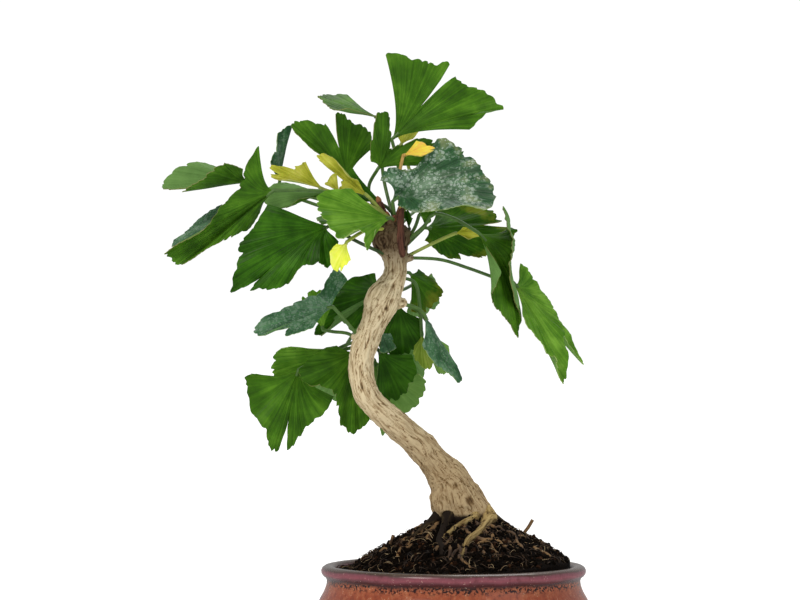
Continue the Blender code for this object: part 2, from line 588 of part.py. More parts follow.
         [(-20, 60, 293), (0, 68, 289), (13, 66, 279), (19, 54, 268), (11, 44, 262)], columns=6),
    Leaf("leaf_34", (-33, 4, 252), [(-42, 28, 256)], (-56, 42, 263),
         [(-76, 46, 260), (-79, 62, 265), (-66, 76, 269), (-50, 74, 268), (-40, 60, 266)], columns=6),
    Leaf("leaf_35", (-34, 2, 230), [(-38, 26, 228)], (-46, 42, 224),
         [(-68, 54, 222), (-70, 64, 212), (-58, 70, 200), (-44, 70, 198), (-33, 62, 206), (-30, 54, 220)],
         columns=6),
    Leaf("leaf_36", (-36, 2, 224), [(-30, 24, 222)], (-22, 37, 226),
         [(-12, 40, 231), (-8, 54, 224), (-9, 64, 213), (-18, 66, 207), (-27, 58, 211)], columns=6),
    Leaf("leaf_37", (-50, 2, 197), [(-56, 26, 198)], (-64, 40, 186),
         [(-84, 42, 184), (-92, 54, 178), (-88, 64, 166), (-76, 68, 158), (-62, 64, 158)], columns=6),
    Leaf("leaf_38", (-42, 2, 210), [(-42, 28, 214)], (-32, 40, 192),
         [(-18, 42, 192), (-14, 54, 182), (-18, 64, 170), (-30, 68, 160), (-46, 64, 160)], columns=6),
    # Young leaves
    Leaf("young_leaf_1", (-37, -4, 256), [(-49, -18, 255)], (-60, -29, 248),
         [(-58, -31, 238), (-62, -34, 233), (-66, -34, 231.5), (-70.5, -32, 240), (-65, -30, 247)],
         columns=4, young=True),
    Leaf("young_leaf_2", (-26, 1.5, 241), [(-10, 0, 249)], (1, -1, 253.8),
         [(5, -3, 257), (11, -4, 255.5), (14.5, -4, 252), (8, -3, 250.5)], columns=4, young=True),
    Leaf("young_leaf_3", (-36, -1, 259), [(-46, -6, 265.5), (-60, -7, 273.5)], (-73.5, -6, 278.5),
         [(-83.5, -6, 294), (-90, -8, 291), (-103.5, -10, 291.5), (-102, -12, 285.5), (-92.5, -12, 283)],
         [(2.5, 0.2)], columns=5, young=True),
    Leaf("young_leaf_4", (-36.5, -2, 262), [], (-48, -9, 274),
         [(-64.5, -8, 278), (-64, -9, 284), (-77.5, -8, 296.5), (-69, -10, 297), (-59, -11, 286),
          (-54, -12, 283)], columns=5, young=True),
    Leaf("young_leaf_5", (-35, -3, 262), [(-50, -13.5, 270.5)], (-64.5, -13, 277),
         [(-66, -12, 287), (-71, -13, 284), (-72, -13, 281), (-68, -14, 278)], columns=4, young=True),
    Leaf("young_leaf_6", (-29, 4, 263), [(-24, 13, 285)], (-30, 17, 305),
         [(-32, 18, 310), (-29, 20, 316), (-22, 21, 318), (-19, 20, 315),
          (-23, 19, 309)], columns=4, young=True),
    Leaf("young_leaf_7", (-30, 4, 266), [(-31, -1, 284)], (-28.5, -2, 298),
         [(-21, -8, 305.5), (-15, -10, 304), (-10.5, -12, 300.5), (-15.5, -13, 297), (-22, -11, 297.5)],
         columns=4, young=True),
]


def main():
    for obj in list(bpy.data.objects):
        bpy.data.objects.remove(obj)
    home = bpy.data.collections.new("ginkgo_bonsai")
    tools = bpy.data.collections.new("cutters")
    bpy.context.scene.collection.children.link(home)
    bpy.context.scene.collection.children.link(tools)
    make_pot(home, tools)
    for number in range(DRAINS):
        make_net(number, home)
    make_trunk("trunk", 0.0, home, tools)
    clearance = make_trunk("clearance", GAP, tools, tools)
    soil = joined(make_soil(home), [copied(clearance, tools)], "DIFFERENCE")
    without_scraps(soil)
    for leaf in LEAVES:
        make_leaf(leaf, clearance, home, tools)
    clearance.hide_render = True
    clearance.display_type = "WIRE"


main()
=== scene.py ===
# The looks of a ginkgo bonsai in a round glazed pot.
# Lengths and places are in millimetres, as in the part's own source, and MM turns them into metres.

import math
import random
from functools import partial

import bmesh
import bpy
import numpy as np
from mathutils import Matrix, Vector, noise


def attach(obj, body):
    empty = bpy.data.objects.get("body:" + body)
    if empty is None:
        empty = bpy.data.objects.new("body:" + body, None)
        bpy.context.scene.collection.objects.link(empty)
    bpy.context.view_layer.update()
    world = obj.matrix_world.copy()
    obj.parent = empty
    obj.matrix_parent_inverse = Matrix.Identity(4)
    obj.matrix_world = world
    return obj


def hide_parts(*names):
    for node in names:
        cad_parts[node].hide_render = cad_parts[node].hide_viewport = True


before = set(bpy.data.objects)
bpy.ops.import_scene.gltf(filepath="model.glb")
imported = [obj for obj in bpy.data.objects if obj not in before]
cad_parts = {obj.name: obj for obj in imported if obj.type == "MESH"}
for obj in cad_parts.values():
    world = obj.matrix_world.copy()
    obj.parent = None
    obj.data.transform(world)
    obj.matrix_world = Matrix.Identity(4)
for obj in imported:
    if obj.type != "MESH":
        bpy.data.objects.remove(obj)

MM = 0.001

# Pot
POT_HEIGHT = 66.0
LIP_RADIUS = 75.0
LIP_WIDTH = 7.6
NECK_RADIUS = 71.9
BELLY_RADIUS = 77.6
FOOT_RADIUS = 49.0
WALL = 5.6
FLOOR = 6.0
POT_STEPS = 144
PROFILE_STEPS = 150
GLAZE_STOP = 2.2
DRAINS = 3
DRAIN_RADIUS = 5.0
DRAIN_RING = 25.0

# Soil, heaped round the trunk
SOIL_FLOOR = 7.5
SOIL_BRIM = 63.5
SOIL_EDGE = 66.0
SOIL_GAP = 0.35
MOUND = 94.5
MOUND_CENTRE = (7.0, 0.0)
MOUND_FLAT = 11.0
MOUND_BULGE = 0.9
SOIL_RINGS = 72
SOIL_STEPS = 180
SOIL_RELIEF = 1.5
SOIL_GRAIN = 9.0
CRUMB_RELIEF = 1.1
CRUMB_GRAIN = 2.6
CRUMB_DENSITIES = (380000.0, 60000.0)
# The trunk's foot, which no crumb lies on: x and radius
TRUNK_FOOT = (5, 13)

# Trunk and roots
TRUNK_VOXEL = 0.55
FISSURE_DEPTH = 0.36
FISSURE_WIDTH = 1.5
FISSURE_LENGTH = 14.0
WRINKLE = 0.3
# How far apart two limbs' grains lie, and how many points are placed at once
LIMB_SHIFT = 40.0
BATCH = 4000

# Leaves
BLADE = 0.45
COLUMN_WIDTH = 1.0
BLADE_ROWS = 20
PETIOLE = 0.85
YOUNG_PETIOLE = 0.5
FLARE = 0.3
TOOTH = 0.05
WAVE = 1.2
SLIT_WIDTH = 0.045
PLEAT = 0.14
PLEAT_WIDTH = 3.4
LIMB_SIDES = 28
RIM_STEPS = 12
BACK_OF_CROWN = 20
# The leaf's map: how much margin one unit holds, and its pattern's spacing
MAP_LENGTH = 100.0
VEIN_SPACING = 1.9
STREAK_WIDTH = 2.2

# Margin of a leaf: scallops, teeth and nicks, and how far the blade buckles
SCALLOP = 6.5
SCALLOP_DEPTH = 2.8
TOOTH_DEPTH = 1.1
NICK_DEPTH = 4.5
MARGIN_OUT = 1.0
BUCKLE = 2.4
# Scars and hollows in the bark: place, radius, depth
HOLLOWS = [((-20, -13, 143), 3.4, 1.5), ((-34.5, -8, 215), 1.7, 0.9), ((-42.5, -7, 219.5), 1.3, 0.6),
           ((-38, -8, 211), 1.2, 0.5), ((-33, -10, 244), 2.0, 0.8), ((-27, -8, 246), 1.8, 0.8),
           ((-45, -9, 190), 1.0, 0.4), ((1, -14.5, 112), 2.2, 0.7), ((9, -15, 103), 2.6, 0.8)]
# A knot whose bark curls in a spiral: place, radius, pitch and depth of its rings
SPIRAL_KNOT = ((-40.2, -8.5, 249.5), 5.6, 2.1, 0.55)
# The red-brown shoot in front of the stump
FRONT_SHOOT = [(-28.6, -6.0, 241, 1.6), (-29.4, -8.0, 245, 2.3), (-30.0, -8.4, 251, 2.3),
               (-30.0, -7.0, 259, 2.1), (-29.4, -4.6, 267, 1.6)]

# Which leaves have which finish; the rest are mature green, and the young ones yellow
# The deep finish is partly the leaves' own darker tone and partly painted shade; the bright one is partly
# their own lighter tone and partly painted light shining through them.
FINISHES = {"deep": (5, 13, 18, 19, 27, 31), "bright": (7, 16, 20, 24, 26, 28), "turning": (14, 17),
            "bloomed": (10, 11, 21, 22, 25), "speckled": (6,), "olive": (23,)}
FINISH_OF = {f"leaf_{number:02}": finish for finish, numbers in FINISHES.items() for number in numbers}
FINISH_OF |= {"young_leaf_1": "lemon_lit_through", "young_leaf_7": "peach"}
GLAUCOUS = ("bloomed", "speckled")
# The leaves whose underside is seen
TURNED_OVER = ("leaf_08", "leaf_12", "leaf_28", "leaf_24")
# The dark and the light tone of the stalks
STALKS = {"mature": ("2C4A1C", "5E8638"), "young": ("6E8230", "A8B450"), "lemon_lit_through": ("8A9A38", "C8D460"),
          "peach": ("A8843C", "DCB468"), "deep": ("1E3214", "3C5A26")}

# Lights: place, size, power and tint
LIGHTS = [("key", (-1.1, -1.3, 2.1), 0.8, 26.0, "FFF8EE"), ("fill", (1.4, -1.3, 0.9), 1.3, 4.0, "F4F8FF"),
          ("top", (0.3, 0.9, 1.8), 1.0, 12.0, "FFFFFF")]
AIM = (0.0, 0.0, 0.2)
WORLD_LIGHT = 0.42
WORLD_WHITE = 1.05
FOCAL_LENGTH = 132.4
CAMERA = (-0.0303, -1.669, 0.19)
CAMERA_TILT = math.atan(0.026 / 1.669)

# Dry twigs that stand in the soil: x, y, lean, height, radius
TWIGS = [(40.0, 2.0, 5.0, 8.5, 0.5), (-35.5, -6.0, 1.5, 5.0, 0.45)]

# Winter buds: place, direction, length, radius
BUDS = [((-42.2, -3, 272.0), (-0.35, 0, 1), 4.2, 1.5), ((-37.4, -3.5, 263.8), (-0.2, -0.4, 1), 3.6, 1.4),
        ((-33.6, -5, 261.5), (0.1, -0.5, 1), 3.6, 1.3), ((-30.6, 3.2, 266.0), (0.2, -0.6, 1), 3.0, 1.3)]

# Pivot points of the trunk's axis from its buried foot to the cut stump: x, y, z, radius
TRUNK_AXIS = [(9, 1, 76, 6), (7, 0.5, 84, 11), (6, 0, 91, 15.5), (4.3, 0, 97, 15), (0.3, -0.5, 106, 14),
              (-3, -1, 114, 11.8), (-11.4, -2.5, 124.5, 8.8), (-22, -4, 136.5, 8.2), (-36, -5, 148.5, 7.6),
              (-47.2, -5.5, 160, 6.9), (-51.8, -5, 172, 7), (-52, -3.5, 184, 7.3), (-48.2, -2, 196, 7.1),
              (-42.6, -0.5, 208, 7.5), (-38.6, 0, 218, 8.3), (-34.5, 0.5, 226, 6.8), (-33, 0.5, 233, 6.7),
              (-33.4, 0, 241, 7.3), (-34.8, 0, 247, 9.6), (-35, 0, 252, 10.2), (-34, 0, 256, 8.6),
              (-33.5, 0, 259, 5),]

# Burls and knots: place on the bark, radius of the swelling, how far it stands out
BURLS = [((-43, -6, 223), 8, 1.6), ((-28, 1, 209), 6, 2.2), ((-48, 0, 214), 8, 1.8), ((-9, -6, 139), 5, 2.0),
         ((-44, -6, 250), 6, 2.4), ((-25, 2, 254), 6, 1.8), ((-20, -13, 143), 5, -1.6),
         ((-38, -9, 249), 4, -1.4), ((18, -8, 98), 8, 2.4), ((-9, -8, 98), 7, 1.8), ((6, -14, 100), 6, 1.6),
         ((-54, -9, 160), 7, 1.0), ((10, 12, 98), 8, 2.2),]

# Roots that run over the soil and dive into it: x, y, height over the smooth heap, radius
ROOTS = [
    [(14, -4, 2, 5), (20, -9, 0.6, 3.6), (18.7, -13.5, 0.6, 2.9), (14.4, -26, 0.4, 2.4),
     (8, -35.5, 0.5, 2.1),
     (5.6, -42.6, 0.4, 1.8), (1, -52.6, -2.4, 1.3)],
    [(8, -9, 2, 4), (11.5, -14.5, 0.3, 2.6), (4.4, -20.5, 0.3, 2.1), (-3, -27.5, 0.2, 1.7),
     (-9, -34, -2.6, 1.1)],
    [(0, -8, 2, 5), (-4, -15.5, 0.3, 3), (-6.5, -24, 0.2, 2.1), (-8.6, -32.5, 0.3, 1.9),
     (-7.2, -41, 0.3, 1.7), (-8.3, -49, -2.6, 1.1)],
    [(-3, -3, 2, 5), (-12, -8, 0, 3.2), (-20, -13, -0.6, 2.2), (-28, -18, -1.2, 1.6),
     (-36, -22, -3.6, 1.1)],
    [(14, 4, 2, 5), (24, 5, -0.2, 3.2), (33, 9, -0.8, 2.3), (42, 13, -1.2, 1.7), (50, 17, -3.6, 1.1)],
    [(5, 8, 2, 5), (4, 17, 0, 3.2), (2, 27, 0, 2.4), (-4, 38, -0.3, 1.9), (-9, 46, -3.6, 1.2)],
]

# Short shoots and buds that carry the leaves: x, y, z, radius
SHOOTS = [
    [(-31, 3, 246, 4), (-32.5, 2, 253, 3.4), (-31.5, 3, 261, 2.7), (-29.5, 4.5, 268.5, 2)],
    [(-34.5, -1, 252, 3.5), (-37, -2.5, 262, 2.2), (-39.5, -2.5, 266, 1.6), (-41.5, -3, 270, 2.2),
     (-42, -3, 272.5, 0.9)],
    [(-33, 0, 254, 3), (-33.5, -4, 261, 1.9), (-33.5, -5, 264, 1.2)],
    [(-30, 1, 240, 3.5), (-24.5, 1.5, 240, 2.2), (-22.8, 1.5, 240.2, 1.5)],
    [(-37, 1, 214, 3.5), (-29.5, 1.5, 215, 2.2), (-27.5, 1.5, 215, 1.5)],
    [(-50, -2, 194, 3.5), (-56, -2.5, 195, 2.2), (-57.8, -2.5, 195.3, 1.5)],
    [(-50, -2, 188, 3.5), (-50, 4.5, 188.5, 2.4), (-50, 6.8, 189, 1.6)],
    [(-34, 0, 232, 3.5), (-33, 7.2, 232, 2.4), (-33, 9.2, 232.3, 1.6)],
]


def colour(hex_code):
    """Linear RGBA of an sRGB hex value."""
    channels = [int(hex_code[i:i + 2], 16) / 255 for i in (0, 2, 4)]
    return (*(c / 12.92 if c <= 0.04045 else ((c + 0.055) / 1.055) ** 2.4 for c in channels), 1.0)


def put(tree, kind, *given, out=0, stops=(), **settings):
    """Add a node with its settings, the values and links of its inputs, and the stops of its ramp.

    kind is the node's type without its family's name. The inputs come in their order or as one
    dictionary, and one that takes several links is given a list. What comes back is the output named
    or numbered by out, and with out=None the node itself.
    """
    family = next(f for f in ("ShaderNode", "GeometryNode", "FunctionNode", "Node")
                  if hasattr(bpy.types, f + kind))
    node = tree.nodes.new(family + kind)
    for key, value in settings.items():
        setattr(node, key, value)
    inputs = given[0] if given and isinstance(given[0], dict) else dict(enumerate(given))
    for key, values in inputs.items():
        for value in values if isinstance(values, list) else [values]:
            if isinstance(value, bpy.types.NodeSocket):
                tree.links.new(value, node.inputs[key])
            else:
                node.inputs[key].default_value = value
    for place, hex_code in stops:
        node.color_ramp.elements.new(place).color = colour(hex_code)
    if stops:
        node.color_ramp.elements.remove(node.color_ramp.elements[0])
        node.color_ramp.elements.remove(node.color_ramp.elements[-1])
    return node if out is None or not node.outputs else node.outputs[out]


def weighed(add, *parts):
    """The sum of some values, each times its weight."""
    total = 0.0
    for value, weight in parts:
        total = add("Math", value, weight, total, operation="MULTIPLY_ADD")
    return total


def laid(add, skin, cover, strength, hex_code, **settings):
    """A skin with a colour laid over it where there is cover, at a strength."""
    share = add("Math", cover, strength, operation="MULTIPLY")
    return add("Mix", {0: share, 6: skin, 7: colour(hex_code)}, out=2, data_type="RGBA", **settings)


def new_material(name):
    """An empty material, what adds its nodes, and its object coordinates."""
    mat = bpy.data.materials.new(name)
    mat.use_nodes = True
    mat.node_tree.nodes.clear()
    add = partial(put, mat.node_tree)
    return mat, add, add("TexCoord", out="Object")


def finish_material(add, sockets, relief=None, depth=0.0, strength=0.5):
    """End a material in its shader, with a relief of a depth in millimetres."""
    if relief is not None:
        sockets["Normal"] = add("Bump", {"Height": relief, "Distance": depth * MM, "Strength": strength})
    add("OutputMaterial", add("BsdfPrincipled", sockets))


def two_tone(name, dark, light, patch, rough, grain=0.0, depth=0.0, strength=0.5, detail=2.0,
             spread=(0.0, 1.0)):
    """A material of two tones in patches, with a relief of a grain and a depth, all in millimetres.

    spread is how far the patches' noise is drawn apart: a narrow one gives them hard borders.
    """
    mat, add, place = new_material(name)
    patches = add("TexNoise", {"Vector": place, "Scale": 1 / (patch * MM), "Detail": detail})
    skin = laid(add, colour(dark), add("MapRange", patches, *spread), 1.0, light)
    relief = None
    if depth:
        relief = patches if grain == patch else add("TexNoise", {"Vector": place, "Scale": 1 / (grain * MM)})
    finish_material(add, {"Base Color": skin, "Roughness": rough}, relief, depth, strength)
    return mat


def new_tree(name, **inputs):
    """A geometry tree that takes a geometry and named inputs, each a socket type and a value."""
    tree = bpy.data.node_groups.new(name, "GeometryNodeTree")
    for way in ("INPUT", "OUTPUT"):
        tree.interface.new_socket("Geometry", in_out=way, socket_type="NodeSocketGeometry")
    for label, (kind, value) in inputs.items():
        socket = tree.interface.new_socket(label.replace("_", " "), in_out="INPUT",
                                           socket_type=f"NodeSocket{kind}")
        socket.default_value = value
    add = partial(put, tree)
    return tree, add, add("GroupInput", out=None).outputs


def finish_tree(add, geometry, material=None):
    """End a tree in Realize Instances and, where one material covers it, Set Material."""
    real = add("RealizeInstances", geometry)
    if material is not None:
        real = add("SetMaterial", {"Geometry": real, "Material": material})
    add("GroupOutput", real)


def shown(name, data):
    """An object of the scene that holds a mesh, a lamp or a lens."""
    obj = bpy.data.objects.new(name, data)
    bpy.context.scene.collection.objects.link(obj)
    return obj


def evaluated(obj):
    """The plain mesh that an object's modifiers make."""
    bpy.context.view_layer.update()
    return bpy.data.meshes.new_from_object(obj.evaluated_get(bpy.context.evaluated_depsgraph_get()))


def grown(name, mesh, tree, **values):
    """The plain mesh that a geometry tree makes of a mesh, as an object of its own."""
    piece = shown(name, mesh)
    sockets = {item.name: item.identifier for item in tree.interface.items_tree if item.in_out == "INPUT"}
    modifier = piece.modifiers.new("grow", "NODES")
    modifier.node_group = tree
    for label, value in values.items():
        modifier[sockets[label]] = value
    result = evaluated(piece)
    piece.modifiers.remove(modifier)
    piece.data = result
    result.name = name
    return piece


def on_root(piece, slot, *nodes):
    """Let a piece ride on the only body and stand for CAD nodes; slot is not used."""
    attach(piece, "root")
    if nodes:
        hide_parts(*nodes)


def mesh_from(bm, name):
    """The mesh of a bmesh, which is freed."""
    mesh = bpy.data.meshes.new(name)
    bm.to_mesh(mesh)
    bm.free()
    return mesh


def smoothed(piece):
    """Shade a piece smooth but for its sharp edges."""
    piece.data.shade_smooth()
    piece.data.set_sharp_from_angle(angle=math.radians(60))


def join_rings(bm, rings, ends=True):
    """Faces between rings of points and, where asked for, over the two ends."""
    for lower, upper in zip(rings, rings[1:]):
        for m in range(len(lower)):
            n = (m + 1) % len(lower)
            bm.faces.new((lower[m], lower[n], upper[n], upper[m]))
    if ends:
        bm.faces.new(rings[0][::-1])
        bm.faces.new(rings[-1])


def add_line(bm, girth, path):
    """A line of edges along a path of x, y, z and radius, which its points keep as their girth."""
    line = []
    for x, y, z, radius in path:
        vertex = bm.verts.new(Vector((x, y, z)) * MM)
        vertex[girth] = radius
        line.append(vertex)
    for one, two in zip(line, line[1:]):
        bm.edges.new((one, two))


def tube(add, lines, sides):
    """Tubes round lines of edges, as wide as the girth in millimetres that their points keep."""
    girth = add("InputNamedAttribute", {"Name": "girth"}, data_type="FLOAT")
    curve = add("SetCurveRadius", {0: add("MeshToCurve", lines), "Radius": girth})
    profile = add("CurvePrimitiveCircle", {"Resolution": sides, "Radius": MM})
    return add("CurveToMesh", {"Curve": curve, "Profile Curve": profile, "Fill Caps": True})


def stored(mesh, name, kind, values):
    """Keep one value a point as a named attribute."""
    attribute = mesh.attributes.new(name, kind, "POINT")
    attribute.data.foreach_set("vector" if kind == "FLOAT_VECTOR" else "value", np.ravel(values))


def spline(points, place):
    """A Catmull-Rom curve through points, at place points along it."""
    last = len(points) - 1
    i = min(int(place), last - 1)
    t = place - i
    a, b, c, d = (points[max(0, min(last, k))] for k in (i - 1, i, i + 1, i + 2))
    return tuple(0.5 * (2 * q + (r - p) * t + (2 * p - 5 * q + 4 * r - s) * t * t
                        + (3 * q - p - 3 * r + s) * t ** 3) for p, q, r, s in zip(a, b, c, d))


def path_through(points, per_span):
    """Points along the curve through points, so many between two."""
    steps = (len(points) - 1) * per_span
    return [spline(points, k / per_span) for k in range(steps + 1)]


class Leaf:
    """A fan-shaped blade on its petiole.

    rim runs along the margin, slits are cuts at places counted along rim with their depth, and arch
    bends the rays between base and margin, from its first vector at the fan's start to its second.
    """

    def __init__(self, name, joins, via, base, rim, slits=(), arch=((0, 0, 0), (0, 0, 0)), columns=7,
                 young=False):
        self.name = name
        self.joins = joins
        self.via = via
        self.base = Vector(base)
        self.rim = rim
        self.slits = [(place / (len(rim) - 1), depth) for place, depth in slits]
        self.arch = [Vector(bend) for bend in arch]
        self.columns = columns
        self.young = young
        self.random = random.Random(name)
        self.lobes = [self.random.uniform(0.3, 1.0) for k in range(columns + 1)]
        self.phase = self.random.uniform(0, 6)
        self.middle = sum((Vector(p) for p in rim), Vector()) / len(rim) - self.base
        across = Vector(rim[-1]) - Vector(rim[0])
        self.normal = self.middle.cross(across).normalized()

    def reach(self, u):
        """How far the margin is out at u, less its notches and slits."""
        at = u * self.columns
        lobe = self.lobes[min(self.columns, int(at))]
        out = 1.0 - TOOTH * lobe * (1 - abs(math.sin(math.pi * at)) ** 0.5)
        for slit, depth in self.slits:
            out -= depth * max(0.0, 1 - abs(u - slit) / SLIT_WIDTH)
        return max(out, 0.25)

    def point(self, u, v):
        """A point of the blade: u along the margin, v from the petiole out."""
        edge = Vector(spline(self.rim, u * (len(self.rim) - 1)))
        spread = v ** FLARE
        ray = self.middle * (1 - spread) + (edge - self.base) * spread
        arch = self.arch[0].lerp(self.arch[1], u) * 4 * v * (1 - v)
        wave = self.normal * WAVE * v * v * math.sin(9 * u + self.phase)
        return self.base + ray * v * self.reach(u) + arch + wave

    def serrate(self, places, rows, grid, length):
        """Cut small uneven teeth and scallops into the margin, and let the blade buckle near it."""
        for u, column in zip(places, grid):
            at = u * length
            drift, tooth, nick = (noise.noise(Vector((at / width, self.phase, row)))
                                  for width, row in ((14, 0), (1.9, 3.0), (3.4, 7.0)))
            scallop = abs(math.sin(math.pi * (at / SCALLOP + 0.8 * drift)))
            cut = 0.55 * SCALLOP_DEPTH * (1 - scallop ** 0.6) + 0.5 * TOOTH_DEPTH * (1 + tooth)
            cut += NICK_DEPTH * max(0.0, nick - 0.15)
            ends = min(1.0, 4 * u + 0.2, 4 * (1 - u) + 0.2)
            ray = column[-1] - column[0]
            reach = max(ray.length, 1.0)
            for k, v in enumerate(rows):
                near = v ** 5
                buckle = BUCKLE * v * v * noise.noise(Vector((at / 9, 2.2 * v, self.phase)))
                column[k] += self.normal * buckle - ray / reach * ((cut * ends - MARGIN_OUT) * near)


